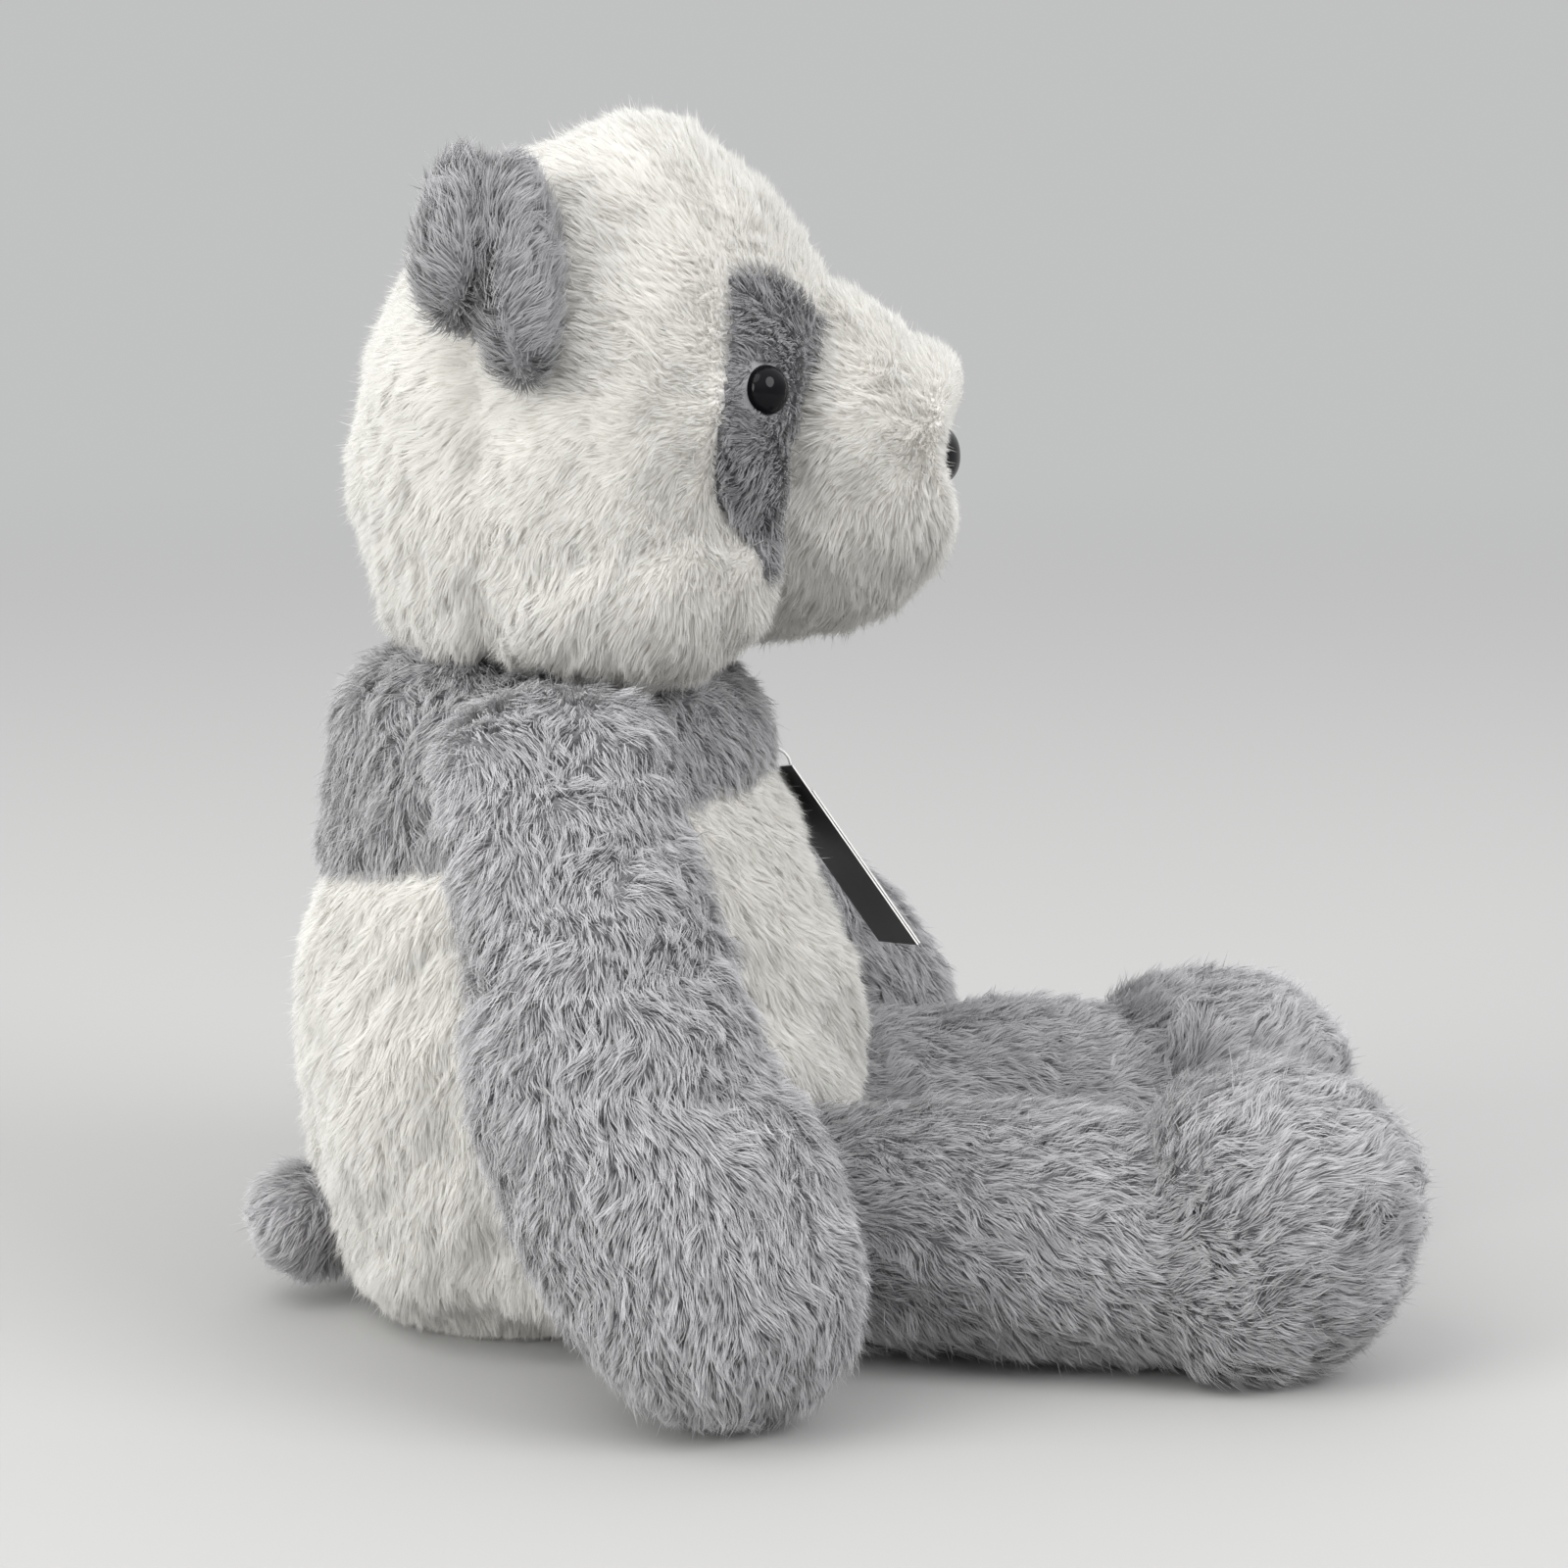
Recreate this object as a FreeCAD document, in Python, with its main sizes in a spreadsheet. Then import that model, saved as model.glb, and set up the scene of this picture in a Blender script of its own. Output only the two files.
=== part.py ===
import FreeCAD, Part
import math
import os
import Sketcher
from FreeCAD import Vector, Rotation, Placement

# Seated plush panda bear, about 290 mm tall over the fur and 281 mm over the sewn fabric.
# Frame: +Z up, the bear faces -Y, its right side is -X. Origin: centre of the seat base, on the surface it sits on.
# All solids are the sewn fabric surfaces: the pile stands a few millimetres proud of them.

doc = FreeCAD.newDocument("SeatedPlushPanda")
sheet = doc.addObject("Spreadsheet::Sheet", "Dims")
rows = []


def dim(alias, value):
    rows.append(alias)
    r = len(rows)
    sheet.set("A%d" % r, alias.replace("_", " "))
    sheet.set("B%d" % r, "%.6g" % value)
    sheet.setAlias("B%d" % r, alias)
    return "Dims." + alias


def table(prefix, names, data):
    """One spreadsheet cell for every number of a list of sections."""
    for i, line in enumerate(data, 1):
        for n, v in zip(names, line):
            dim("%s_%s_%02d" % (prefix, n, i), v)


# ---------------------------------------------------------------- dimensions
dim("fabric", 1.5)            # knitted backing with its pile root
dim("slack", 0.25)            # room between a cover and its filling
dim("seam", 0.1)              # room at a butted seam

# torso: height, fore-aft centre, fore-aft radius, side radius
TORSO = [(0, 0, 44, 45), (3.5, 0, 49.5, 50.6), (12, 0.3, 55, 56.2), (30, 0.5, 60.5, 62),
         (48, 0.5, 64.3, 66), (68, 1, 65.8, 67.3), (88, 2, 62.9, 64.4), (105, 3, 58.3, 59.8),
         (120, 5, 54, 55.3), (133, 7, 50.5, 51.6), (146, 7, 47.2, 48.4), (153, 6.5, 41, 42.5),
         (157, 6, 32, 34), (159.2, 5, 23, 24), (160, 4, 12, 12.5)]
table("torso", ("z", "cy", "ry", "rx"), TORSO)
# head ball: height, fore-aft centre, fore-aft radius, side radius
HEAD = [(167, 0, 32, 42), (169.5, 0, 39, 49), (175, -2.7, 46.2, 55), (185, -4.5, 52.5, 60),
        (200, -5.4, 55.6, 62.5), (215, -6, 56, 63), (230, -7, 54, 61.5), (243, -8, 49.5, 56.5),
        (255, -8.3, 42.3, 49), (266, -9.5, 34, 39.5), (275, -11.3, 24.3, 29),
        (281.5, -13.8, 13.8, 18), (285.2, -15, 5, 6)]
table("head", ("z", "cy", "ry", "rx"), HEAD)
# muzzle: fore-aft station, height of centre, half height, half width
MUZ = [(-35, 208, 39, 40), (-60, 208, 35.8, 37.5), (-70, 208, 32.8, 35), (-78, 208, 28.5, 31),
       (-84, 208, 22, 26), (-87.3, 209, 13, 16), (-88.2, 209, 5, 6)]
table("muz", ("y", "cz", "rz", "rx"), MUZ)
# arm, right one, hanging: height, side centre, side radius, fore-aft centre, fore-aft radius
ARM = [(5, 101, 4, -34.5, 5.5), (9, 101, 11, -34.5, 15.5), (17, 101.3, 17.3, -34, 24),
       (30, 101.5, 21.5, -32, 30), (46, 101, 22.6, -27.5, 34), (62, 99, 22.5, -21, 34.6),
       (80, 95, 21.5, -12.5, 29.5), (98, 89.5, 20.5, -8, 26.3), (115, 81, 19.5, -5, 24.5),
       (131, 71.5, 18, 1, 24), (146, 63.5, 16, 3, 23.3), (152.5, 61.5, 12.5, 3, 18.5),
       (156.4, 60.5, 5, 3, 8)]
table("arm", ("z", "cx", "rx", "cy", "ry"), ARM)
dim("arm_swing_y", 2)
dim("arm_swing_z", 146)
dim("arm_dish_x", 51)         # inner face of the arm at the swing axis
dim("arm_dish_rise", 0.27)    # outward slope of that face
dim("arm_left_forward", 16)   # the left arm rests further forward, degrees
# leg: root ball radius, then radius at stations along the leg
dim("leg_root", 24)
table("leg", ("s", "r"), [(25, 26.8), (60, 28.9), (104, 29.4)])
dim("hip_x", 38)
dim("hip_y", -45)
dim("hip_z", 30)
dim("hip_splay", 8.5)
dim("hip_room", 1.5)
dim("hip_ring_back", 7)
dim("hip_up", 20)
dim("hip_down", 70)
# foot, in the leg's frame: height from the hip, heel station, toe station, half width
FOOT = [(-30, -97, -125, 17), (-27.5, -90.5, -131, 23), (-20, -87, -137.5, 28.5),
        (-8, -86, -145, 31), (6, -86, -148.4, 31.6), (20, -87, -148.6, 31.2),
        (30, -89, -143.5, 27.6), (36, -94.5, -137, 21.6), (40, -103.5, -130, 13.6),
        (41, -109, -125, 8.2)]
table("foot", ("z", "cy", "ry", "rx"),
      [(z, (a + b) / 2, (a - b) / 2, rx) for z, a, b, rx in FOOT])
dim("sole_y", -140)
# seams of the head cover
dim("seam_back_y", 18)
dim("seam_face_y", -36)
dim("seam_chin_z", 175)
dim("patch_x", 22)
dim("patch_top_z", 252)
dim("muz_seam_y", -47)
dim("muz_seam_z", 190)
dim("muz_seam_tilt", 10.8)
dim("yoke_y", 8)
dim("yoke_z", 122.5)
dim("yoke_tilt", 12.8)
# neck
dim("neck_y", 4)
dim("neck_room_r", 29.8)
dim("neck_room_z", 170)
dim("neck_stub_r", 11)
dim("neck_stub_z", 163.6)
dim("thread_r", 0.4)
dim("neck_seam_r", 26)
dim("neck_gather_r", 20)
dim("neck_seam_z", 163.4)
dim("arm_seam_r", 9)
dim("arm_seam_x", 51.4)
# eyes, nose and their washers
dim("eye_r", 6.4)
dim("eye_dome", 4.2)
dim("stem_r", 1.9)
dim("stem_len", 9)
dim("washer_r", 6.5)
dim("washer_t", 1.2)
dim("eye_x", 47.3)
dim("eye_y", -43.9)
dim("eye_z", 225.4)
dim("nose_rx", 9)
dim("nose_rz", 7)
dim("nose_dome", 4.7)
dim("nose_y", -84.7)
dim("nose_z", 208)
dim("nose_seat_r", 10.6)
# ears
dim("ear_t", 6.2)
dim("ear_w", 16)
dim("ear_h", 25)
# tail
dim("tail_w", 13.2)
dim("tail_h", 12.2)
dim("tail_len", 9.6)
# bean pouch in the seat
dim("pouch_y", 14)
dim("pouch_z", 19.5)
dim("pouch_rx", 36)
dim("pouch_ry", 28)
dim("pouch_rz", 14)
dim("pouch_wall", 0.8)
# swing tag
dim("tag_w", 36)
dim("tag_top", 4)
dim("tag_low", 50)
dim("tag_t", 0.4)
dim("tag_gap", 0.2)
dim("tag_hole", 1.6)
dim("loop_r", 4.5)
dim("loop_t", 0.35)
doc.recompute()


# ---------------------------------------------------------------- helpers
def bind(obj, **props):
    for k, e in props.items():
        obj.setExpression(k, e)
    return obj


def at(obj, x=None, y=None, z=None, rot=None):
    """Place an object: numbers are set, text is bound to the sheet."""
    b = [0.0, 0.0, 0.0]
    for i, v in enumerate((x, y, z)):
        if isinstance(v, (int, float)):
            b[i] = v
    obj.Placement = Placement(Vector(*b), rot or Rotation())
    for axis, v in zip("xyz", (x, y, z)):
        if isinstance(v, str):
            obj.setExpression("Placement.Base." + axis, v)
    return obj


ROT_Z90 = Rotation(Vector(0, 0, 1), 90)
ROT_X90 = Rotation(Vector(1, 0, 0), 90)


def loft(name, secs):
    o = doc.addObject("Part::Loft", name)
    o.Sections = secs
    o.Solid = True
    o.Ruled = False
    o.Closed = False
    return o


def shrink(prefix, n, key, lo, hi, off):
    """A station moved towards the middle of its stack by off at the ends."""
    mid = "((Dims.%s + Dims.%s) / 2)" % (lo, hi)
    half = "(abs(Dims.%s - Dims.%s) / 2)" % (hi, lo)
    return "%s + (Dims.%s_%s_%02d - %s) * (%s - (%s)) / %s" % (mid, prefix, key, n, mid, half, off, half)


def stack(name, prefix, count, off="0", major="rx", mirror=1, x=None, dz="0"):
    """A soft form lofted through level ellipses, drawn in by off."""
    secs = []
    lo, hi = "%s_z_01" % prefix, "%s_z_%02d" % (prefix, count)
    for i in range(1, count + 1):
        e = doc.addObject("Part::Ellipse", "%s_s%02d" % (name, i))
        big = "Dims.%s_%s_%02d - (%s)" % (prefix, major, i, off)
        small = "Dims.%s_%s_%02d - (%s)" % (prefix, "ry" if major == "rx" else "rx", i, off)
        e.MajorRadius = 500
        bind(e, MinorRadius=small)
        bind(e, MajorRadius=big)
        cx = 0.0 if x is None else "%d * Dims.%s_%s_%02d" % (mirror, prefix, x, i)
        at(e, cx, "Dims.%s_cy_%02d" % (prefix, i), shrink(prefix, i, "z", lo, hi, off) + " + " + dz,
           ROT_Z90 if major == "ry" else None)
        secs.append(e)
    return loft(name, secs)


def spout(name, prefix, count, off="0"):
    """A soft form lofted through upright ellipses, front end drawn in by off."""
    secs = []
    for i in range(1, count + 1):
        e = doc.addObject("Part::Ellipse", "%s_s%02d" % (name, i))
        e.MajorRadius = 500
        bind(e, MinorRadius="Dims.%s_rz_%02d - (%s)" % (prefix, i, off))
        bind(e, MajorRadius="Dims.%s_rx_%02d - (%s)" % (prefix, i, off))
        y = "Dims.%s_y_%02d + (%s) * %g" % (prefix, i, off, (i - 1) / (count - 1.0))
        at(e, 0.0, y, "Dims.%s_cz_%02d" % (prefix, i), ROT_X90)
        secs.append(e)
    return loft(name, secs)


def cut(name, base, tool):
    o = doc.addObject("Part::Cut", name)
    o.Base, o.Tool, o.Refine = base, tool, False
    return o


def common(name, base, tool):
    o = doc.addObject("Part::Common", name)
    o.Base, o.Tool, o.Refine = base, tool, False
    return o


def fuse(name, *shapes):
    o = doc.addObject("Part::MultiFuse", name)
    o.Shapes, o.Refine = list(shapes), False
    return o


def box(name, x, y, z, lx, ly, lz, rot=None):
    o = doc.addObject("Part::Box", name)
    for k, v in (("Length", lx), ("Width", ly), ("Height", lz)):
        if isinstance(v, str):
            o.setExpression(k, v)
        else:
            setattr(o, k, v)
    return at(o, x, y, z, rot)


def cyl(name, r, length, x=0.0, y=0.0, z=0.0, rot=None):
    o = doc.addObject("Part::Cylinder", name)
    for k, v in (("Radius", r), ("Height", length)):
        if isinstance(v, str):
            o.setExpression(k, v)
        else:
            setattr(o, k, v)
    return at(o, x, y, z, rot)


def ellipsoid(name, rx, ry, rz, x=0.0, y=0.0, z=0.0, rot=None):
    o = doc.addObject("Part::Ellipsoid", name)
    bind(o, Radius1=rz, Radius2=rx, Radius3=ry)
    o.Angle1, o.Angle2, o.Angle3 = -90, 90, 360
    return at(o, x, y, z, rot)


def torus(name, R, r, x=0.0, y=0.0, z=0.0, rot=None):
    o = doc.addObject("Part::Torus", name)
    bind(o, Radius1=R, Radius2=r)
    return at(o, x, y, z, rot)


def mirrored(name, source):
    o = doc.addObject("Part::Mirroring", name)
    o.Source = source
    o.Base = Vector(0, 0, 0)
    o.Normal = Vector(1, 0, 0)
    return o


def plane(body, role):
    return [f for f in body.Origin.OriginFeatures if f.Role == role][0]


def profile_body(name, pts, role="XZ_Plane", arc_after=(), kind="revolve", length=None, axis="V_Axis"):
    """A PartDesign body from one closed sketch. pts: (x, y) as text bound to the sheet or numbers.
    arc_after: index of the point after which the edge is an arc, and its radius and centre."""
    body = doc.addObject("PartDesign::Body", name)
    sk = body.newObject("Sketcher::SketchObject", name + "_sketch")
    sk.AttachmentSupport = (plane(body, role), [""])
    sk.MapMode = "FlatFace"

    def val(v):
        if isinstance(v, str):
            ob = sheet
            expr = v.replace("Dims.", "")
            env = {}
            for a in rows:
                if a in expr:
                    env[a] = float(ob.get(a))
            for a in sorted(env, key=len, reverse=True):
                expr = expr.replace(a, "(%r)" % env[a])
            return arithmetic(expr)
        return float(v)

    xy = [(val(a), val(b)) for a, b in pts]
    n = len(xy)
    arcs = dict((i, (val(c[0]), val(c[1]))) for i, c in arc_after)
    for i in range(n):
        a, b = xy[i], xy[(i + 1) % n]
        if i in arcs:
            c = arcs[i]
            r = math.hypot(a[0] - c[0], a[1] - c[1])
            t0 = math.atan2(a[1] - c[1], a[0] - c[0])
            t1 = math.atan2(b[1] - c[1], b[0] - c[0])
            ccw = (t1 - t0) % (2 * math.pi) < math.pi
            lo, hi = (t0, t1) if ccw else (t1, t0)
            if hi < lo:
                hi += 2 * math.pi
            sk.addGeometry(Part.ArcOfCircle(Part.Circle(Vector(c[0], c[1], 0), Vector(0, 0, 1), r), lo, hi), False)
            arcs[i] = (c, 1 if ccw else 2, 2 if ccw else 1)
        else:
            sk.addGeometry(Part.LineSegment(Vector(a[0], a[1], 0), Vector(b[0], b[1], 0)), False)
    end = lambda i: (i, arcs[i][2]) if i in arcs else (i, 2)
    start = lambda i: (i, arcs[i][1]) if i in arcs else (i, 1)
    for i in range(n):
        sk.addConstraint(Sketcher.Constraint("Coincident", *(end(i) + start((i + 1) % n))))
    k = sk.ConstraintCount
    for i in range(n):
        g, p = start(i)
        for word, v, e in (("DistanceX", xy[i][0], pts[i][0]), ("DistanceY", xy[i][1], pts[i][1])):
            if abs(v) < 1e-9:
                sk.addConstraint(Sketcher.Constraint("PointOnObject", g, p, -2 if word == "DistanceX" else -1))
                k += 1
                continue
            sk.addConstraint(Sketcher.Constraint(word, -1, 1, g, p, v))
            if isinstance(e, str):
                sk.setExpression("Constraints[%d]" % k, e)
            k += 1
    for i in arcs:
        c = arcs[i][0]
        sk.addConstraint(Sketcher.Constraint("PointOnObject", i, 3, -2))
        k += 1
    doc.recompute()
    if kind == "revolve":
        f = body.newObject("PartDesign::Revolution", name + "_turn")
        f.Profile = sk
        f.ReferenceAxis = (sk, [axis])
        f.Angle = 360
    else:
        f = body.newObject("PartDesign::Pad", name + "_pad")
        f.Profile = sk
        if isinstance(length, str):
            f.setExpression("Length", length)
        else:
            f.Length = length
        f.Midplane = True
    body.Tip = f
    return body


def arithmetic(text):
    """Value of a sum or difference of products of plain numbers in brackets."""
    import ast
    import operator
    ops = {ast.Add: operator.add, ast.Sub: operator.sub, ast.Mult: operator.mul,
           ast.Div: operator.truediv, ast.USub: operator.neg}

    def walk(n):
        if isinstance(n, ast.Constant):
            return float(n.value)
        if isinstance(n, ast.BinOp):
            return ops[type(n.op)](walk(n.left), walk(n.right))
        return ops[type(n.op)](walk(n.operand))

    return walk(ast.parse(text).body[0].value)


def D(alias):
    return float(sheet.get(alias))


nodes = {}


def node(name, obj, placement=None):
    obj.Label = name
    if placement is not None:
        obj.Placement = placement
    nodes[name] = obj
    return obj


FAB = "Dims.fabric"
CORE = "Dims.fabric + Dims.slack"

# ---------------------------------------------------------------- hip recesses in the torso
hip_cutters = {"wall": [], "lining": [], "core": []}
for tag, extra in (("wall", "0"), ("lining", "Dims.fabric"), ("core", "Dims.fabric + Dims.slack")):
    for side, sx in (("r", -1), ("l", 1)):
        spl = Rotation(Vector(0, 0, 1), sx * D("hip_splay"))
        hip = (("%d * Dims.hip_x" % sx), "Dims.hip_y", "Dims.hip_z")
        r_root = "Dims.leg_root + Dims.hip_room + %s" % extra
        ball = doc.addObject("Part::Sphere", "hip_ball_%s_%s" % (tag, side))
        bind(ball, Radius=r_root)
        at(ball, *hip)
        parts = [ball]
        for word, ang in (("up", D("hip_up")), ("low", -D("hip_down"))):
            c = doc.addObject("Part::Cone", "hip_%s_%s_%s" % (word, tag, side))
            bind(c, Radius1=r_root, Radius2="Dims.leg_r_02 + Dims.hip_room + %s" % extra,
                 Height="Dims.leg_s_02 + 14")
            # cone axis turned from +Z to the leg's own direction, raised or lowered
            rot = spl.multiply(Rotation(Vector(1, 0, 0), 90 - ang))
            at(c, *hip, rot=rot)
            parts.append(c)
        up, lo = math.radians(D("hip_up")), math.radians(D("hip_down"))
        w = profile_body("hip_fan_%s_%s" % (tag, side),
                         [(0, 0), (-90 * math.cos(up), 90 * math.sin(up)), (-110, -20),
                          (-90 * math.cos(lo), -90 * math.sin(lo))],
                         role="YZ_Plane", kind="pad", length="2 * (%s)" % r_root)
        at(w, *hip, rot=spl)
        parts.append(w)
        hip_cutters[tag].append(fuse("hip_room_%s_%s" % (tag, side), *parts))

# ---------------------------------------------------------------- torso
n = len(TORSO)
t_out = stack("torso_out", "torso", n)
t_in = stack("torso_in", "torso", n, FAB)
t_core = stack("torso_core", "torso", n, CORE)
t_out_c = cut("torso_out_l", cut("torso_out_r", t_out, hip_cutters["wall"][0]), hip_cutters["wall"][1])
t_in_c = cut("torso_in_l", cut("torso_in_r", t_in, hip_cutters["lining"][0]), hip_cutters["lining"][1])
t_core_c = cut("torso_core_l", cut("torso_core_r", t_core, hip_cutters["core"][0]), hip_cutters["core"][1])
t_shell = cut("torso_shell", t_out_c, t_in_c)
ytilt = math.radians(D("yoke_tilt"))
yrot = Rotation(Vector(1, 0, 0), -D("yoke_tilt"))
ybox = box("yoke_box", -100, "Dims.yoke_y - 120 * cos(Dims.yoke_tilt)",
           "Dims.yoke_z + 120 * sin(Dims.yoke_tilt)", 200, 240, 90, yrot)
ybox2 = box("yoke_box_low", -100, "Dims.yoke_y - 120 * cos(Dims.yoke_tilt)",
            "Dims.yoke_z - Dims.seam + 120 * sin(Dims.yoke_tilt)", 200, 240, 90, yrot)
node("shoulder_yoke", common("yoke_common", t_shell, ybox))
low_shell = cut("body_low", t_shell, ybox2)
base_disc = cyl("base_disc", 43.6, "Dims.fabric", 0, 0, 0)
base_gap = cyl("base_gap", 43.7, "Dims.fabric + 0.02", 0, 0, -0.01)
node("base_panel", common("base_common", low_shell, base_disc))
node("body_cover", cut("body_cover_cut", low_shell, base_gap))
pouch_at = (0.0, "Dims.pouch_y", "Dims.pouch_z")
pouch_room = ellipsoid("pouch_room", "Dims.pouch_rx + 0.3", "Dims.pouch_ry + 0.3", "Dims.pouch_rz + 0.3", *pouch_at)
pouch_out = ellipsoid("pouch_out", "Dims.pouch_rx", "Dims.pouch_ry", "Dims.pouch_rz", *pouch_at)
pouch_in = ellipsoid("pouch_in", "Dims.pouch_rx - Dims.pouch_wall", "Dims.pouch_ry - Dims.pouch_wall",
                     "Dims.pouch_rz - Dims.pouch_wall", *pouch_at)
beans = ellipsoid("pouch_fill", "Dims.pouch_rx - Dims.pouch_wall - 0.2", "Dims.pouch_ry - Dims.pouch_wall - 0.2",
                  "Dims.pouch_rz - Dims.pouch_wall - 0.2", *pouch_at)
node("torso_filling", cut("torso_fill_cut", t_core_c, pouch_room))
node("bean_pouch", cut("pouch_cut", pouch_out, pouch_in))
node("pellet_fill", beans)

# ---------------------------------------------------------------- head
n, m = len(HEAD), len(MUZ)


def head_form(tag, off, stub_r, stub_z, room_r, room_z, seat_r, seat_y):
    ball = stack("ball_" + tag, "head", n, off)
    muz = spout("muz_" + tag, "muz", m, off)
    stub = cyl("stub_" + tag, stub_r, 12, 0, "Dims.neck_y", stub_z)
    whole = fuse("head_fuse_" + tag, ball, muz)
    room_o = cyl("room_" + tag, room_r, "%s - 150" % room_z, 0, "Dims.neck_y", 150)
    room_i = cyl("room_core_" + tag, stub_r, 60, 0, "Dims.neck_y", 140)
    ring = cut("neck_room_" + tag, room_o, room_i)
    seat = cyl("seat_" + tag, seat_r, 30, 0, seat_y, "Dims.nose_z", Rotation(Vector(1, 0, 0), 90))
    a = cut("head_c1_" + tag, whole, ring)
    b = fuse("head_c2_" + tag, a, stub)
    return cut("head_c3_" + tag, b, seat)


h_out = head_form("out", "0", "Dims.neck_stub_r", "Dims.neck_stub_z", "Dims.neck_room_r", "Dims.neck_room_z",
                  "Dims.nose_seat_r", "Dims.nose_y + 0.3")
h_in = head_form("in", FAB, "Dims.neck_stub_r - Dims.fabric", "Dims.neck_stub_z + Dims.fabric",
                 "Dims.neck_room_r + Dims.fabric", "Dims.neck_room_z + Dims.fabric",
                 "Dims.nose_seat_r + Dims.fabric", "Dims.nose_y + 0.3 + Dims.fabric")
h_core = head_form("core", CORE, "Dims.neck_stub_r - Dims.fabric - Dims.slack",
                   "Dims.neck_stub_z + Dims.fabric + Dims.slack",
                   "Dims.neck_room_r + Dims.fabric + Dims.slack", "Dims.neck_room_z + Dims.fabric + Dims.slack",
                   "Dims.nose_seat_r + Dims.fabric + Dims.slack", "Dims.nose_y + 0.3 + Dims.fabric + Dims.slack")
h_shell = cut("head_shell", h_out, h_in)
node("head_back_panel", common("h_back", h_shell, box("b_back", -100, "Dims.seam_back_y", 150, 200, 100, 150)))
side_y = "Dims.seam_face_y"
side_l = "Dims.seam_back_y - Dims.seam - Dims.seam_face_y"
node("head_side_panel_right", common("h_side_r", h_shell, box("b_side_r", -100, side_y, 150, "100 - Dims.seam / 2", side_l, 150)))
node("head_side_panel_left", common("h_side_l", h_shell, box("b_side_l", "Dims.seam / 2", side_y, 150, 100, side_l, 150)))
face = common("h_face", h_shell, box("b_face", -100, "Dims.seam_face_y - Dims.seam - 100", 150, 200, 100, 150))
node("chin_panel", common("h_chin", face, box("b_chin", -100, -150, 100, 200, 150, "Dims.seam_chin_z - 100 - Dims.seam")))
upper = common("h_upper", face, box("b_upper", -100, -150, "Dims.seam_chin_z", 200, 150, 150))
mrot = Rotation(Vector(1, 0, 0), D("muz_seam_tilt"))
front_room = box("b_front_room", -100, "Dims.muz_seam_y + Dims.seam - 100 * cos(Dims.muz_seam_tilt) + 60 * sin(Dims.muz_seam_tilt)",
                 "Dims.muz_seam_z - 60 * cos(Dims.muz_seam_tilt) - 100 * sin(Dims.muz_seam_tilt)", 200, 100, 200, mrot)
behind = cut("h_behind", upper, front_room)
muzzle = cut("h_muzzle", upper, behind)
pr_box = box("b_patch_r", -100, -100, 150, "100 - Dims.patch_x", 100, "Dims.patch_top_z - 150")
pl_box = box("b_patch_l", "Dims.patch_x", -100, 150, 100, 100, "Dims.patch_top_z - 150")
pr_room = box("b_patch_r2", -100, -100, 150, "100 - Dims.patch_x + Dims.seam", 100, "Dims.patch_top_z - 150 + Dims.seam")
pl_room = box("b_patch_l2", "Dims.patch_x - Dims.seam", -100, 150, 100, 100, "Dims.patch_top_z - 150 + Dims.seam")
fore = cut("h_fore2", cut("h_fore1", behind, pr_room), pl_room)
node("forehead_panel", common("h_fore3", fore, box("b_fore", -100, -150, 190, 200, 150, 120)))
patch_r = common("h_patch_r", behind, pr_box)
patch_l = common("h_patch_l", behind, pl_box)


# eyes: a domed bead on a stem, held by a washer behind the fabric
def bead(name, r, dome):
    R = "(%s * %s + %s * %s) / (2 * %s)" % (r, r, dome, dome, dome)
    return profile_body(name, [(0, "-1 * Dims.stem_len"), ("Dims.stem_r", "-1 * Dims.stem_len"), ("Dims.stem_r", 0),
                               (r, 0), (0, dome)], arc_after=[(3, (0, "%s - %s" % (dome, R)))])


def frame_from(z_dir, x_hint):
    z = Vector(*z_dir).normalize()
    x = Vector(*x_hint)
    x = (x - z * x.dot(z)).normalize()
    y = z.cross(x)
    mat = FreeCAD.Matrix(x.x, y.x, z.x, 0, x.y, y.y, z.y, 0, x.z, y.z, z.z, 0, 0, 0, 0, 1)
    return Placement(mat).Rotation


eye_holes = {}
core_now = h_core
for side, sx, patch in (("right", -1, patch_r), ("left", 1, patch_l)):
    rot = frame_from((sx * 0.70, -0.70, 0.10), (0, 0, 1))
    e = bead("eye_body_" + side, "Dims.eye_r", "Dims.eye_dome")
    spot = ("%d * Dims.eye_x" % sx, "Dims.eye_y", "Dims.eye_z")
    at(e, *spot, rot=rot)
    node("eye_" + side, e)
    axis = rot.multVec(Vector(0, 0, 1))
    back = lambda d: tuple("%s + (%.6f)" % (s, -d * c) for s, c in zip(spot, (axis.x, axis.y, axis.z)))
    hole = cyl("eye_hole_" + side, "Dims.stem_r + 0.3", 30, *back(20), rot=rot)
    node("eye_patch_" + side, cut("eye_patch_cut_" + side, patch, hole))
    disc = cyl("eye_washer_disc_" + side, "Dims.washer_r", "Dims.washer_t", *back(5.2), rot=rot)
    bore = cyl("eye_washer_bore_" + side, "Dims.stem_r + 0.08", 30, *back(15), rot=rot)
    node("eye_washer_" + side, cut("eye_washer_cut_" + side, disc, bore))
    room = cyl("eye_room_" + side, "Dims.washer_r + 0.5", 14, *back(12), rot=rot)
    core_now = cut("head_core_eye_" + side, core_now, room)

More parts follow.
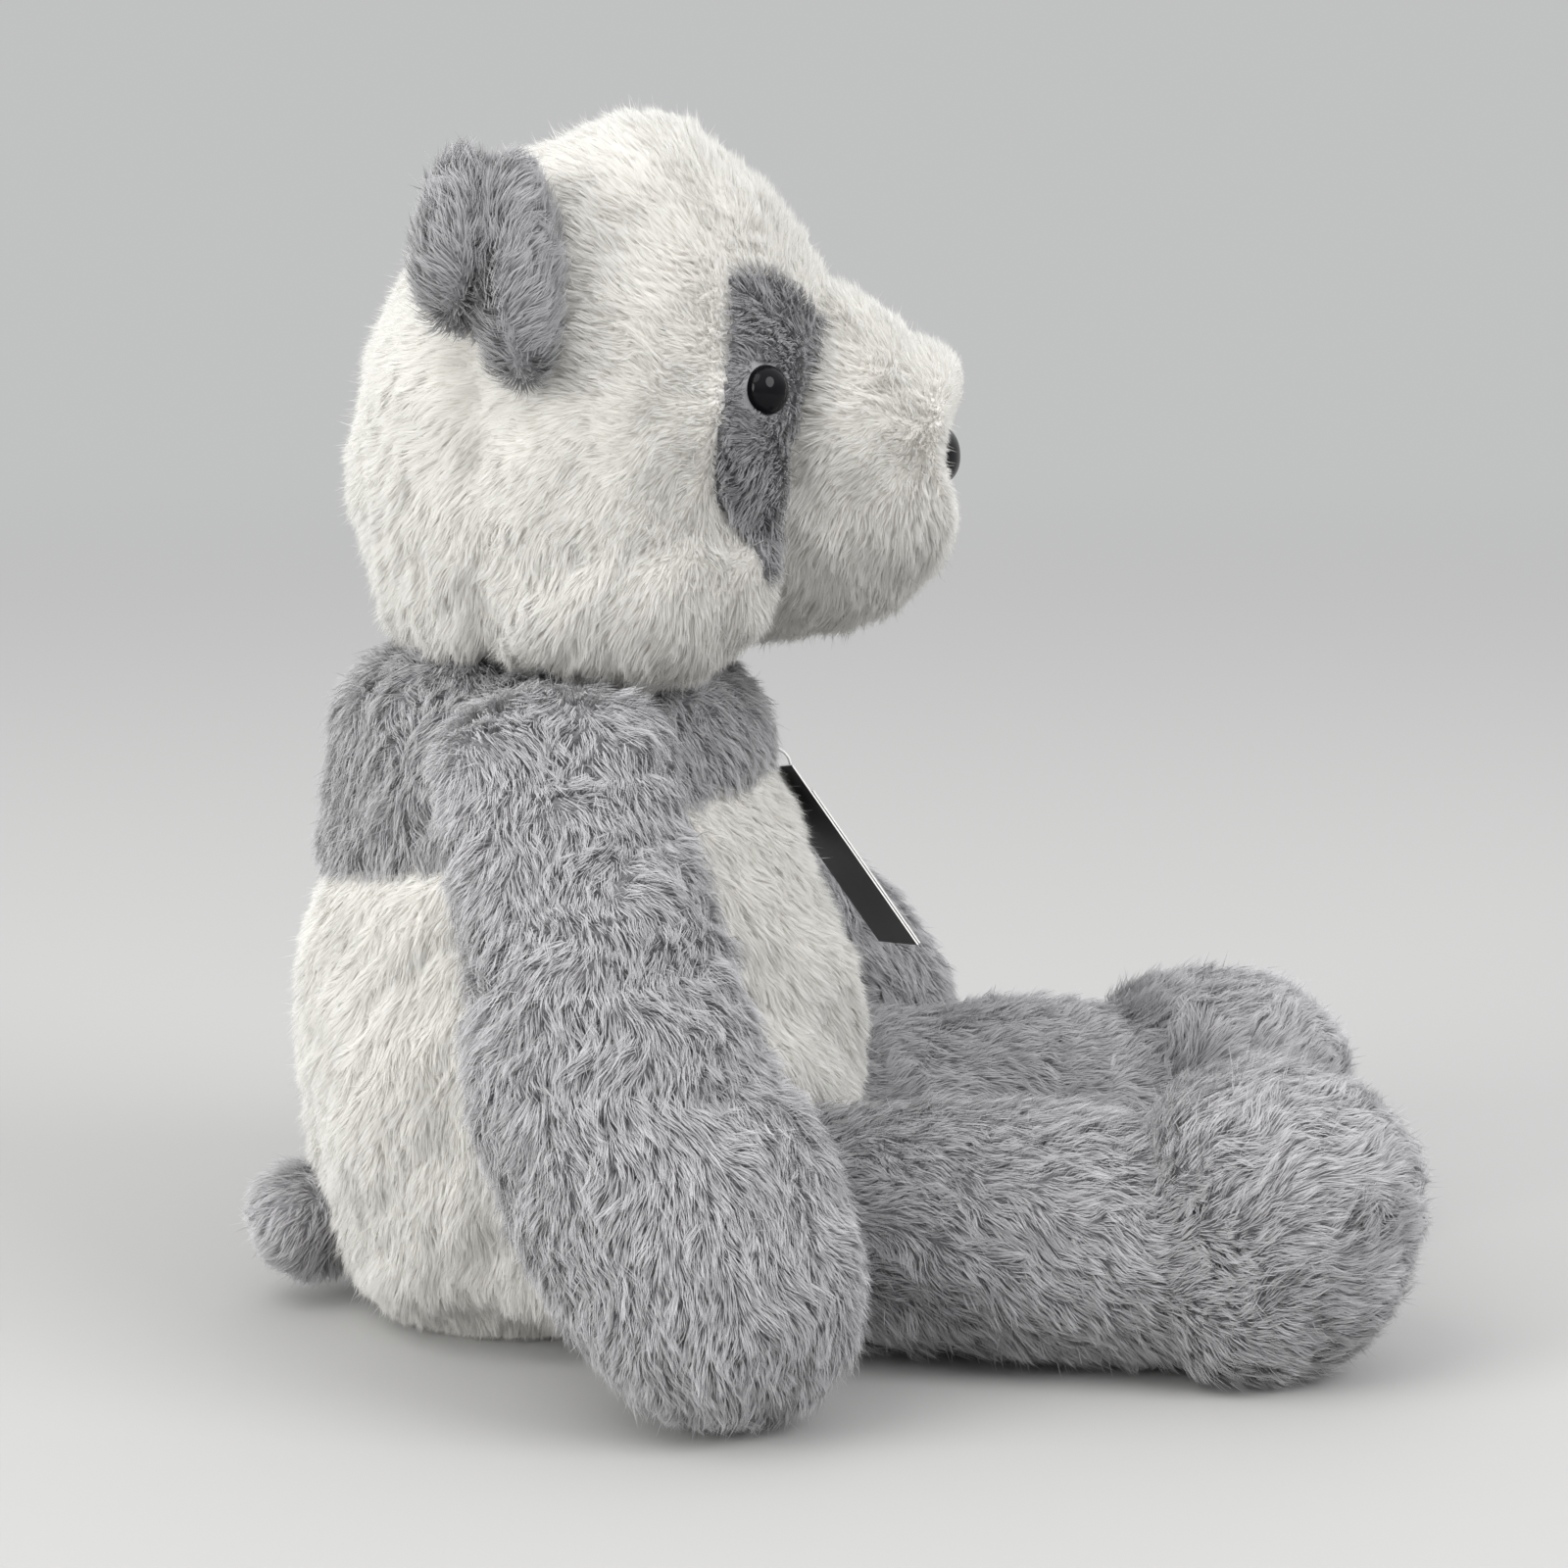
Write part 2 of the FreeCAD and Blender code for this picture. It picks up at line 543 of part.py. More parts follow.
nose_dome = ellipsoid("nose_dome", "Dims.nose_rx", "Dims.nose_dome", "Dims.nose_rz", 0, "Dims.nose_y", "Dims.nose_z")
nose_half = cut("nose_half", nose_dome, box("nose_back", -50, "Dims.nose_y", 150, 100, 50, 100))
RB = Rotation(Vector(1, 0, 0), -90)
nose_stem = cyl("nose_stem", "Dims.stem_r", "Dims.stem_len", 0, "Dims.nose_y", "Dims.nose_z", RB)
node("nose", fuse("nose_fuse", nose_half, nose_stem))
node("muzzle_cover", cut("muzzle_cut", muzzle, cyl("nose_hole", "Dims.stem_r + 0.3", 12, 0, "Dims.nose_y - 1", "Dims.nose_z", RB)))
node("nose_washer", cut("nose_washer_cut",
                        cyl("nose_washer_disc", "Dims.washer_r", "Dims.washer_t", 0, "Dims.nose_y + 3", "Dims.nose_z", RB),
                        cyl("nose_washer_bore", "Dims.stem_r + 0.08", 20, 0, "Dims.nose_y - 1", "Dims.nose_z", RB)))
core_now = cut("head_core_nose", core_now,
               cyl("nose_room", "Dims.washer_r + 0.5", 12, 0, "Dims.nose_y", "Dims.nose_z", RB))
node("head_filling", core_now)

# neck stitching: the seam thread on the torso side, the gathering thread of the head opening inside it
node("neck_seam_thread", torus("neck_seam", "Dims.neck_seam_r", "Dims.thread_r", 0, "Dims.neck_y", "Dims.neck_seam_z"))
node("neck_gather_thread", torus("neck_gather", "Dims.neck_gather_r", "Dims.thread_r", 0, "Dims.neck_y", "Dims.neck_seam_z"))

# ---------------------------------------------------------------- ears
# local frame: x through the thickness, y from the sewn edge to the free edge, z along the sewn edge
a35 = math.radians(35)
nh = Vector(-math.cos(a35), 0, math.sin(a35))
zl = Vector(math.sin(a35), 0, math.cos(a35))
yl = nh * 0.55 + Vector(0, 0.8352, 0)
xl = yl.cross(zl)
ear_edge = Vector(-52.6, 3, 251.8)
ear_rot = Placement(FreeCAD.Matrix(xl.x, yl.x, zl.x, 0, xl.y, yl.y, zl.y, 0, xl.z, yl.z, zl.z, 0, 0, 0, 0, 1)).Rotation
ear_mid = ear_edge + yl * (D("ear_w") + 1.5)
ear_pl = Placement(ear_mid, ear_rot)
e_out = ellipsoid("ear_out", "Dims.ear_t", "Dims.ear_w", "Dims.ear_h")
e_in = ellipsoid("ear_in", "Dims.ear_t - Dims.fabric", "Dims.ear_w - Dims.fabric", "Dims.ear_h - Dims.fabric")
e_core = ellipsoid("ear_core", "Dims.ear_t - Dims.fabric - Dims.slack", "Dims.ear_w - Dims.fabric - Dims.slack",
                   "Dims.ear_h - Dims.fabric - Dims.slack")
e_shell = cut("ear_shell", e_out, e_in)
for word, x0 in (("outer", "Dims.seam / 2"), ("inner", "-60 - Dims.seam / 2")):
    right = common("ear_%s_r" % word, e_shell, box("ear_box_" + word, x0, -50, -50, 60, 100, 100))
    right.Placement = ear_pl
    node("ear_%s_panel_right" % word, right)
    node("ear_%s_panel_left" % word, mirrored("ear_%s_l" % word, right))
pad_r = common("ear_pad_r", e_core, box("ear_pad_box", -50, -50, -50, 100, 100, 100))
pad_r.Placement = ear_pl
node("ear_padding_right", pad_r)
node("ear_padding_left", mirrored("ear_pad_l", pad_r))

# ---------------------------------------------------------------- arms
n = len(ARM)
dish = doc.addObject("Part::Cone", "arm_dish")
# everything nearer to the torso than this flat cone belongs to the torso's side
bind(dish, Radius1="0.01", Radius2="300 / 1", Height="300 * Dims.arm_dish_rise")
at(dish, "-1 * Dims.arm_dish_x", "Dims.arm_swing_y", "Dims.arm_swing_z", Rotation(Vector(0, 1, 0), -90))


def arm_form(tag, off):
    form = stack("arm_" + tag, "arm", n, off, major="ry", mirror=-1, x="cx")
    keep = doc.addObject("Part::Cone", "arm_keep_" + tag)
    bind(keep, Radius1="0.01", Radius2="300 / 1", Height="300 * Dims.arm_dish_rise")
    at(keep, "-1 * (Dims.arm_dish_x + 1.04 * (%s))" % off, "Dims.arm_swing_y", "Dims.arm_swing_z",
       Rotation(Vector(0, 1, 0), -90))
    slab = box("arm_slab_" + tag, "-1 * (Dims.arm_dish_x + 1.04 * (%s))" % off, -200, -100, 200, 400, 400)
    room = box("arm_side_" + tag, -400, -300, -200, "400 - Dims.arm_dish_x - 1.04 * (%s)" % off, 600, 700)
    beyond = cut("arm_flare_" + tag, room, keep)
    # beyond = the wedge between the flat cone and the plane through its tip
    wedge = common("arm_wedge_" + tag, beyond, cyl("arm_tub_" + tag, 250, "80", "-1 * (Dims.arm_dish_x + 1.04 * (%s))" % off,
                                                    "Dims.arm_swing_y", "Dims.arm_swing_z", Rotation(Vector(0, 1, 0), -90)))
    return cut("arm_trim2_" + tag, cut("arm_trim_" + tag, form, slab), wedge)


a_out = arm_form("out", "0")
a_in = arm_form("in", FAB)
a_core = arm_form("core", CORE)
a_shell = cut("arm_shell", a_out, a_in)
# the seam between outer and inner arm panels: an upright plane that follows the arm's lean
seam_rot = Rotation(Vector(0, 1, 0), 15)
sep = box("arm_sep", -300, -200, -150, 300 - 77, 400, 400)
sep2 = box("arm_sep2", -300, -200, -150, 300 - 77 + 0.1, 400, 400)
for s in (sep, sep2):
    s.Placement = Placement(Vector(0, 0, 146), Rotation()).multiply(Placement(Vector(0, 0, 0), seam_rot)).multiply(
        Placement(Vector(-300, -200, -300), Rotation()))
sep.Length = 300 - 60
sep2.Length = 300 - 60 + 0.1
arm_r = {"outer": common("arm_outer_r", a_shell, sep), "inner": cut("arm_inner_r", a_shell, sep2), "fill": a_core}
lift = Placement(Vector(0, 0, 0), Rotation(), Vector(0, 0, 0))
pivot = Vector(0, D("arm_swing_y"), D("arm_swing_z"))
fwd = Placement(Vector(0, 0, 0), Rotation(Vector(1, 0, 0), -D("arm_left_forward")), pivot)
node("arm_outer_panel_right", arm_r["outer"])
node("arm_inner_panel_right", arm_r["inner"])
node("arm_filling_right", arm_r["fill"])
for word, key in (("outer_panel", "outer"), ("inner_panel", "inner"), ("filling", "fill")):
    node("arm_%s_left" % word, mirrored("arm_%s_l" % key, arm_r[key]), fwd)
RY = Rotation(Vector(0, 1, 0), 90)
for side, sx in (("right", -1), ("left", 1)):
    node("shoulder_seam_" + side, torus("shoulder_seam_t_" + side, "Dims.arm_seam_r", "Dims.thread_r",
                                        "%d * Dims.arm_seam_x" % sx, "Dims.arm_swing_y", "Dims.arm_swing_z", RY))

# ---------------------------------------------------------------- legs, in the leg's own frame
n = len(FOOT)


def leg_form(tag, off):
    tube = profile_body("leg_tube_" + tag,
                        [(0, "Dims.leg_root - (%s)" % off), ("Dims.leg_root - (%s)" % off, 0),
                         ("Dims.leg_r_01 - (%s)" % off, "-1 * Dims.leg_s_01"),
                         ("Dims.leg_r_02 - (%s)" % off, "-1 * Dims.leg_s_02"),
                         ("Dims.leg_r_03 - (%s)" % off, "-1 * Dims.leg_s_03"), (0, "-1 * Dims.leg_s_03")],
                        role="XY_Plane", arc_after=[(0, (0, 0))])
    foot = stack("foot_" + tag, "foot", n, off)
    return tube, foot


l_out, f_out = leg_form("out", "0")
l_in, f_in = leg_form("in", FAB)
l_core, f_core = leg_form("core", CORE)
leg_whole = fuse("leg_whole_out", l_out, f_out)
leg_hollow = fuse("leg_whole_in", l_in, f_in)
leg_fill = fuse("leg_whole_core", l_core, f_core)
leg_shell = cut("leg_shell", leg_whole, leg_hollow)
foot_shell = common("foot_shell_part", leg_shell, f_out)
leg_part = cut("leg_shell_part", leg_shell, f_out)
sole_box = box("sole_box", -60, "Dims.sole_y - Dims.seam - 60", -60, 120, 60, 120)
sole_room = box("sole_room", -60, "Dims.sole_y - 60", -60, 120, 60, 120)
foot_only = cut("foot_only", foot_shell, sole_room)
sole = common("sole_part", foot_shell, sole_box)
hipR = Placement(Vector(-D("hip_x"), D("hip_y"), D("hip_z")), Rotation(Vector(0, 0, 1), -D("hip_splay")))
hipL = Placement(Vector(D("hip_x"), D("hip_y"), D("hip_z")), Rotation(Vector(0, 0, 1), D("hip_splay")))
for word, o in (("leg_cover", leg_part), ("foot_cover", foot_only), ("sole_pad", sole), ("leg_filling", leg_fill)):
    left = mirrored(word + "_l", o)
    node(word + "_left", left, hipL)
for word, o in (("leg_cover", leg_part), ("foot_cover", foot_only), ("sole_pad", sole), ("leg_filling", leg_fill)):
    right = mirrored(word + "_rr", mirrored(word + "_r", o))
    node(word + "_right", right, hipR)
for side, pl in (("right", hipR), ("left", hipL)):
    # the ring lies behind the ball's widest circle, so that a splayed thigh never reaches it
    t = torus("hip_seam_t_" + side, "sqrt((Dims.leg_root + 0.75)^2 - Dims.hip_ring_back^2)", "Dims.thread_r - 0.05")
    t.Placement = pl.multiply(Placement(Vector(0, D("hip_ring_back"), 0), ROT_X90))
    node("hip_seam_" + side, t)

# ---------------------------------------------------------------- tail, in its own frame: z away from the torso
tail_dir = Vector(0, math.cos(math.radians(22)), -math.sin(math.radians(22)))
tail_rot = frame_from((tail_dir.x, tail_dir.y, tail_dir.z), (1, 0, 0))
tail_root = Vector(0, 60.6, 23.5)
tail_pl = Placement(tail_root + tail_dir * (D("tail_len") + 1.0), tail_rot)
tl_out = ellipsoid("tail_out", "Dims.tail_w", "Dims.tail_h", "Dims.tail_len")
tl_in = ellipsoid("tail_in", "Dims.tail_w - Dims.fabric", "Dims.tail_h - Dims.fabric", "Dims.tail_len - Dims.fabric")
tl_core = ellipsoid("tail_core", "Dims.tail_w - Dims.fabric - Dims.slack", "Dims.tail_h - Dims.fabric - Dims.slack",
                    "Dims.tail_len - Dims.fabric - Dims.slack")
tail_cover = cut("tail_cover_cut", tl_out, tl_in)
node("tail_cover", tail_cover, tail_pl)
tl_core.Placement = tail_pl
node("tail_filling", tl_core)

# ---------------------------------------------------------------- swing tag: a folded card on a loop
zt = Vector(0, 0.5690, 0.8223).normalize()
w = Vector(math.cos(math.radians(20)), math.sin(math.radians(20)), 0)
w = (w - zt * w.dot(zt)).normalize()
back_n = zt.cross(w)
tag_rot = Placement(FreeCAD.Matrix(w.x, back_n.x, zt.x, 0, w.y, back_n.y, zt.y, 0, w.z, back_n.z, zt.z, 0, 0, 0, 0, 1)).Rotation
loop_mid = Vector(19.4, -45.6, 130.0)
hook = loop_mid + Vector(0, -1, -1).normalize() * D("loop_r")
tag_pl = Placement(hook, tag_rot)


def leaf(name, y0, top, hole):
    body = doc.addObject("PartDesign::Body", name)
    sk = body.newObject("Sketcher::SketchObject", name + "_outline")
    sk.AttachmentSupport = (plane(body, "XZ_Plane"), [""])
    sk.MapMode = "FlatFace"
    hw, lo = D("tag_w") / 2, -D("tag_low")
    c = [(-hw, lo), (hw, lo), (hw, top), (-hw, top)]
    for i in range(4):
        a, b = c[i], c[(i + 1) % 4]
        sk.addGeometry(Part.LineSegment(Vector(a[0], a[1], 0), Vector(b[0], b[1], 0)), False)
    for i in range(4):
        sk.addConstraint(Sketcher.Constraint("Coincident", i, 2, (i + 1) % 4, 1))
    sk.addConstraint(Sketcher.Constraint("Horizontal", 0))
    sk.addConstraint(Sketcher.Constraint("Horizontal", 2))
    sk.addConstraint(Sketcher.Constraint("Vertical", 1))
    sk.addConstraint(Sketcher.Constraint("Vertical", 3))
    k = sk.ConstraintCount
    sk.addConstraint(Sketcher.Constraint("DistanceX", 0, 1, -1, 1, hw))
    sk.setExpression("Constraints[%d]" % k, "Dims.tag_w / 2")
    sk.addConstraint(Sketcher.Constraint("DistanceX", 0, 1, 0, 2, 2 * hw))
    sk.setExpression("Constraints[%d]" % (k + 1), "Dims.tag_w")
    sk.addConstraint(Sketcher.Constraint("DistanceY", 0, 1, -1, 1, -lo))
    sk.setExpression("Constraints[%d]" % (k + 2), "Dims.tag_low")
    sk.addConstraint(Sketcher.Constraint("DistanceY", 0, 1, 2, 1, top - lo))
    sk.setExpression("Constraints[%d]" % (k + 3), "Dims.tag_low + (%g)" % top if not hole else "Dims.tag_low + Dims.tag_top")
    if hole:
        g = sk.addGeometry(Part.Circle(Vector(0, 0, 0), Vector(0, 0, 1), D("tag_hole")), False)
        sk.addConstraint(Sketcher.Constraint("Coincident", g, 3, -1, 1))
        kk = sk.ConstraintCount
        sk.addConstraint(Sketcher.Constraint("Radius", g, D("tag_hole")))
        sk.setExpression("Constraints[%d]" % kk, "Dims.tag_hole")
    doc.recompute()
    p = body.newObject("PartDesign::Pad", name + "_card")
    p.Profile = sk
    p.setExpression("Length", "Dims.tag_t")
    body.Tip = p
    doc.recompute()
    ymin, ymax = body.Shape.BoundBox.YMin, body.Shape.BoundBox.YMax
    body.Placement = tag_pl.multiply(Placement(Vector(0, y0 - ymin, 0), Rotation()))
    return body


node("tag_rear_leaf", leaf("tag_rear", D("tag_gap") / 2, D("tag_top"), True))
node("tag_front_leaf", leaf("tag_front", -D("tag_gap") / 2 - D("tag_t"), -4.0, False))
node("tag_fastener", torus("tag_loop", "Dims.loop_r", "Dims.loop_t", loop_mid.x, loop_mid.y, loop_mid.z, RY))

# ---------------------------------------------------------------- build, check, write
doc.recompute()
bad = []
for o in doc.Objects:
    if any(word in o.State for word in ("Invalid", "Error")):
        bad.append((o.Name, o.Label, list(o.State)))
for name, o in nodes.items():
    s = o.Shape
    if s.isNull() or not s.isValid() or not s.Solids:
        bad.append((name, "null" if s.isNull() else "invalid or no solid"))
if bad:
    raise RuntimeError("failed objects: %s" % bad[:12])
os.makedirs("parts", exist_ok=True)
for f in os.listdir("parts"):
    if f.endswith(".step") and f[:-5] not in nodes:
        os.remove(os.path.join("parts", f))
whole = FreeCAD.BoundBox()
for name, o in sorted(nodes.items()):
    s = o.Shape
    s.exportStep("parts/%s.step" % name)
    b = s.optimalBoundingBox(False) if hasattr(s, "optimalBoundingBox") else s.BoundBox
    whole.add(b)
    print("%-24s solids %d vol %9.1f  x %7.1f %7.1f  y %7.1f %7.1f  z %7.1f %7.1f"
          % (name, len(s.Solids), s.Volume, b.XMin, b.XMax, b.YMin, b.YMax, b.ZMin, b.ZMax))
panels = ["head_back_panel", "head_side_panel_right", "head_side_panel_left", "forehead_panel", "eye_patch_right",
          "eye_patch_left", "muzzle_cover", "chin_panel"]
print("head shell", round(h_shell.Shape.Volume), "its panels", round(sum(nodes[p].Shape.Volume for p in panels)))
print("torso shell", round(t_shell.Shape.Volume), "its panels",
      round(sum(nodes[p].Shape.Volume for p in ("shoulder_yoke", "body_cover", "base_panel"))))
print("nodes", len(nodes), "box", [round(v, 2) for v in (whole.XMin, whole.XMax, whole.YMin, whole.YMax, whole.ZMin, whole.ZMax)])
print("ear edge", ear_edge, "ear axis", zl, "tail root", tail_root, "tag hook", hook, "tag axis", w, "tag up", zt, "tag back", back_n)
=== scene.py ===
import math
import bpy
import numpy as np
from mathutils import Matrix, Vector, kdtree


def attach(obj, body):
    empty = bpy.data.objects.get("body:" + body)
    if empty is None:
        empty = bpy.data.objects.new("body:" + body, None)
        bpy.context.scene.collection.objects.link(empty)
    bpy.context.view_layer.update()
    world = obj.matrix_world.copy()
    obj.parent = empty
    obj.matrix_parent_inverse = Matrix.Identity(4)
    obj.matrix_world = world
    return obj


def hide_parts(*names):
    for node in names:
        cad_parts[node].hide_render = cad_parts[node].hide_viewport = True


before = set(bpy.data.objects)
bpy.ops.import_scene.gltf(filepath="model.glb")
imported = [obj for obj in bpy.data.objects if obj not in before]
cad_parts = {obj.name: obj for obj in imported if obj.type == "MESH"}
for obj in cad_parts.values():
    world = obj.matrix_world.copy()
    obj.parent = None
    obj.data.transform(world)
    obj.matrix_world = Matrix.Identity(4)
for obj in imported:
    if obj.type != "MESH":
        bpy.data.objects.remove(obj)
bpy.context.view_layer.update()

MM = 0.001

# ------------------------------------------------------------------ small numeric helpers (all lengths in mm)


def unit(v):
    v = np.asarray(v, float)
    n = np.linalg.norm(v, axis=-1, keepdims=True)
    return v / np.maximum(n, 1e-12)


def smoothstep(a, b, x):
    t = np.clip((x - a) / (b - a), 0, 1)
    return t * t * (3 - 2 * t)


def waves(seed, length, count=9):
    """A smooth field with about unit size and the given wavelength, made of plane waves."""
    r = np.random.default_rng(seed)
    k = unit(r.normal(size=(count, 3))) * (2 * math.pi / length) * r.uniform(0.65, 1.45, (count, 1))
    ph = r.uniform(0, 2 * math.pi, count)
    return lambda p: np.sin(p @ k.T + ph).sum(1) / math.sqrt(count / 2)


def waves3(seed, length, count=7):
    f = [waves(seed + i, length, count) for i in range(3)]
    return lambda p: np.stack([g(p) for g in f], 1)


def hermite(s, v, q):
    """Shape-keeping cubic through stations."""
    h = np.diff(s)
    d = np.diff(v) / h
    m = np.zeros_like(v)
    m[0], m[-1] = d[0], d[-1]
    for i in range(1, len(v) - 1):
        if d[i - 1] * d[i] > 0:
            w1, w2 = 2 * h[i] + h[i - 1], h[i] + 2 * h[i - 1]
            m[i] = (w1 + w2) / (w1 / d[i - 1] + w2 / d[i])
    k = np.clip(np.searchsorted(s, q, side="right") - 1, 0, len(h) - 1)
    t = (q - s[k]) / h[k]
    a, b = v[k], v[k + 1]
    ma, mb = m[k] * h[k], m[k + 1] * h[k]
    return (2 * t**3 - 3 * t**2 + 1) * a + (t**3 - 2 * t**2 + t) * ma + (-2 * t**3 + 3 * t**2) * b + (t**3 - t**2) * mb


def resample(table, count):
    t = np.array(table, float)
    s = np.r_[0, np.sqrt((np.diff(t, axis=0) ** 2).sum(1)).cumsum()]
    q = np.linspace(0, s[-1], count)
    return np.stack([hermite(s, t[:, k], q) for k in range(t.shape[1])], 1)


def tube(centres, e1, e2, r1, r2, power=2.0, seg=96):
    """A closed form through rings. centres (n,3), e1 and e2 the two directions, r1 and r2 the radii."""
    a = np.linspace(0, 2 * math.pi, seg, endpoint=False)
    c, s = np.cos(a), np.sin(a)
    c = np.sign(c) * np.abs(c) ** (2 / power)
    s = np.sign(s) * np.abs(s) ** (2 / power)
    n = len(centres)
    v = (centres[:, None, :] + (np.asarray(r1)[:, None] * c)[:, :, None] * np.asarray(e1, float)
         + (np.asarray(r2)[:, None] * s)[:, :, None] * np.asarray(e2, float)).reshape(-1, 3)
    v = np.vstack([v, centres[0], centres[-1]])
    f = []
    for i in range(n - 1):
        for j in range(seg):
            k = (j + 1) % seg
            f.append((i * seg + j, i * seg + k, (i + 1) * seg + k, (i + 1) * seg + j))
    for j in range(seg):
        k = (j + 1) % seg
        f.append((n * seg, k, j))
        f.append((n * seg + 1, (n - 1) * seg + j, (n - 1) * seg + k))
    return v, f


def ball(centre, radii, axes=None, seg=64):
    a = np.linspace(0, math.pi, seg // 2)
    z = -np.cos(a)
    r = np.maximum(np.sin(a), 1e-3)
    v, f = tube(np.stack([0 * z, 0 * z, z], 1), (1, 0, 0), (0, 1, 0), r, r, seg=seg)
    v = v * np.array(radii, float)
    if axes is not None:
        v = v @ np.array(axes, float)
    return v + np.array(centre, float), f


def level(table, count=70, power=2.0):
    """Table rows: z, cx, cy, rx, ry."""
    t = resample(table, count)
    return tube(np.stack([t[:, 1], t[:, 2], t[:, 0]], 1), (1, 0, 0), (0, 1, 0), t[:, 3], t[:, 4], power)


class Skin:
    """One sewn outer surface: vertices, faces, triangles and normals, in mm in the row frame."""

    def __init__(self, parts, voxel=1.9, smooth=8):
        vs, fs, n = [], [], 0
        for v, f in parts:
            vs.append(v)
            fs += [tuple(i + n for i in p) for p in f]
            n += len(v)
        me = bpy.data.meshes.new("tmp")
        me.from_pydata((np.vstack(vs) * MM).tolist(), [], fs)
        me.validate()
        ob = bpy.data.objects.new("tmp", me)
        bpy.context.scene.collection.objects.link(ob)
        mod = ob.modifiers.new("r", "REMESH")
        mod.mode = "VOXEL"
        mod.voxel_size = voxel * MM
        dg = bpy.context.evaluated_depsgraph_get()
        out = bpy.data.meshes.new_from_object(ob.evaluated_get(dg))
        bpy.data.objects.remove(ob)
        bpy.data.meshes.remove(me)
        self.v = np.zeros(len(out.vertices) * 3)
        out.vertices.foreach_get("co", self.v)
        self.v = self.v.reshape(-1, 3) / MM
        self.f = [tuple(p.vertices) for p in out.polygons]
        e = np.zeros(len(out.edges) * 2, np.int64)
        out.edges.foreach_get("vertices", e)
        self.e = e.reshape(-1, 2)
        out.calc_loop_triangles()
        t = np.zeros(len(out.loop_triangles) * 3, np.int64)
        out.loop_triangles.foreach_get("vertices", t)
        self.t = t.reshape(-1, 3)
        bpy.data.meshes.remove(out)
        self.smooth(smooth)
        self.normals()

    def smooth(self, rounds, lam=0.55, mu=-0.57):
        n = len(self.v)
        a, b = self.e[:, 0], self.e[:, 1]
        deg = np.maximum(np.bincount(a, minlength=n) + np.bincount(b, minlength=n), 1)[:, None]
        for _ in range(rounds):
            for k in (lam, mu):
                s = np.stack([np.bincount(a, self.v[b, i], n) + np.bincount(b, self.v[a, i], n) for i in range(3)], 1)
                self.v = self.v + k * (s / deg - self.v)

    def normals(self):
        p = self.v[self.t]
        c = np.cross(p[:, 1] - p[:, 0], p[:, 2] - p[:, 0])
        self.area = np.linalg.norm(c, axis=1) / 2
        n = len(self.v)
        s = np.zeros((n, 3))
        for k in range(3):
            for i in range(3):
                s[:, i] += np.bincount(self.t[:, k], c[:, i], n)
        self.n = unit(s)

    def push(self, amount):
        self.v = self.v + self.n * np.asarray(amount)[:, None]
        self.normals()
        return self

    def move(self, rot, offset, pivot=(0, 0, 0)):
        p = np.array(pivot, float)
        self.v = (self.v - p) @ np.array(rot).T + p + np.array(offset, float)
        self.normals()
        return self

    def mirror(self):
        m = object.__new__(Skin)
        m.v = self.v * np.array([-1, 1, 1])
        m.f = [tuple(reversed(p)) for p in self.f]
        m.t = self.t[:, ::-1].copy()
        m.e = self.e
        m.normals()
        return m

    def build(self, name, mats, which=None):
        me = bpy.data.meshes.new(name)
        me.from_pydata((self.v * MM).tolist(), [], self.f)
        for m in mats:
            me.materials.append(m)
        if which is not None:
            c = np.array([self.v[list(p)].mean(0) for p in self.f])
            me.polygons.foreach_set("material_index", which(c).astype(np.int32))
        me.polygons.foreach_set("use_smooth", np.ones(len(self.f), bool))
        ob = bpy.data.objects.new(name, me)
        bpy.context.scene.collection.objects.link(ob)
        return ob


# ------------------------------------------------------------------ materials


def ramp(nt, stops, src):
    r = nt.nodes.new("ShaderNodeValToRGB")
    el = r.color_ramp.elements
    el[0].position, el[0].color = stops[0][0], (*stops[0][1], 1)
    el[1].position, el[1].color = stops[-1][0], (*stops[-1][1], 1)
    for p, c in stops[1:-1]:
        e = el.new(p)
        e.color = (*c, 1)
    nt.links.new(src, r.inputs[0])
    return r.outputs[0]


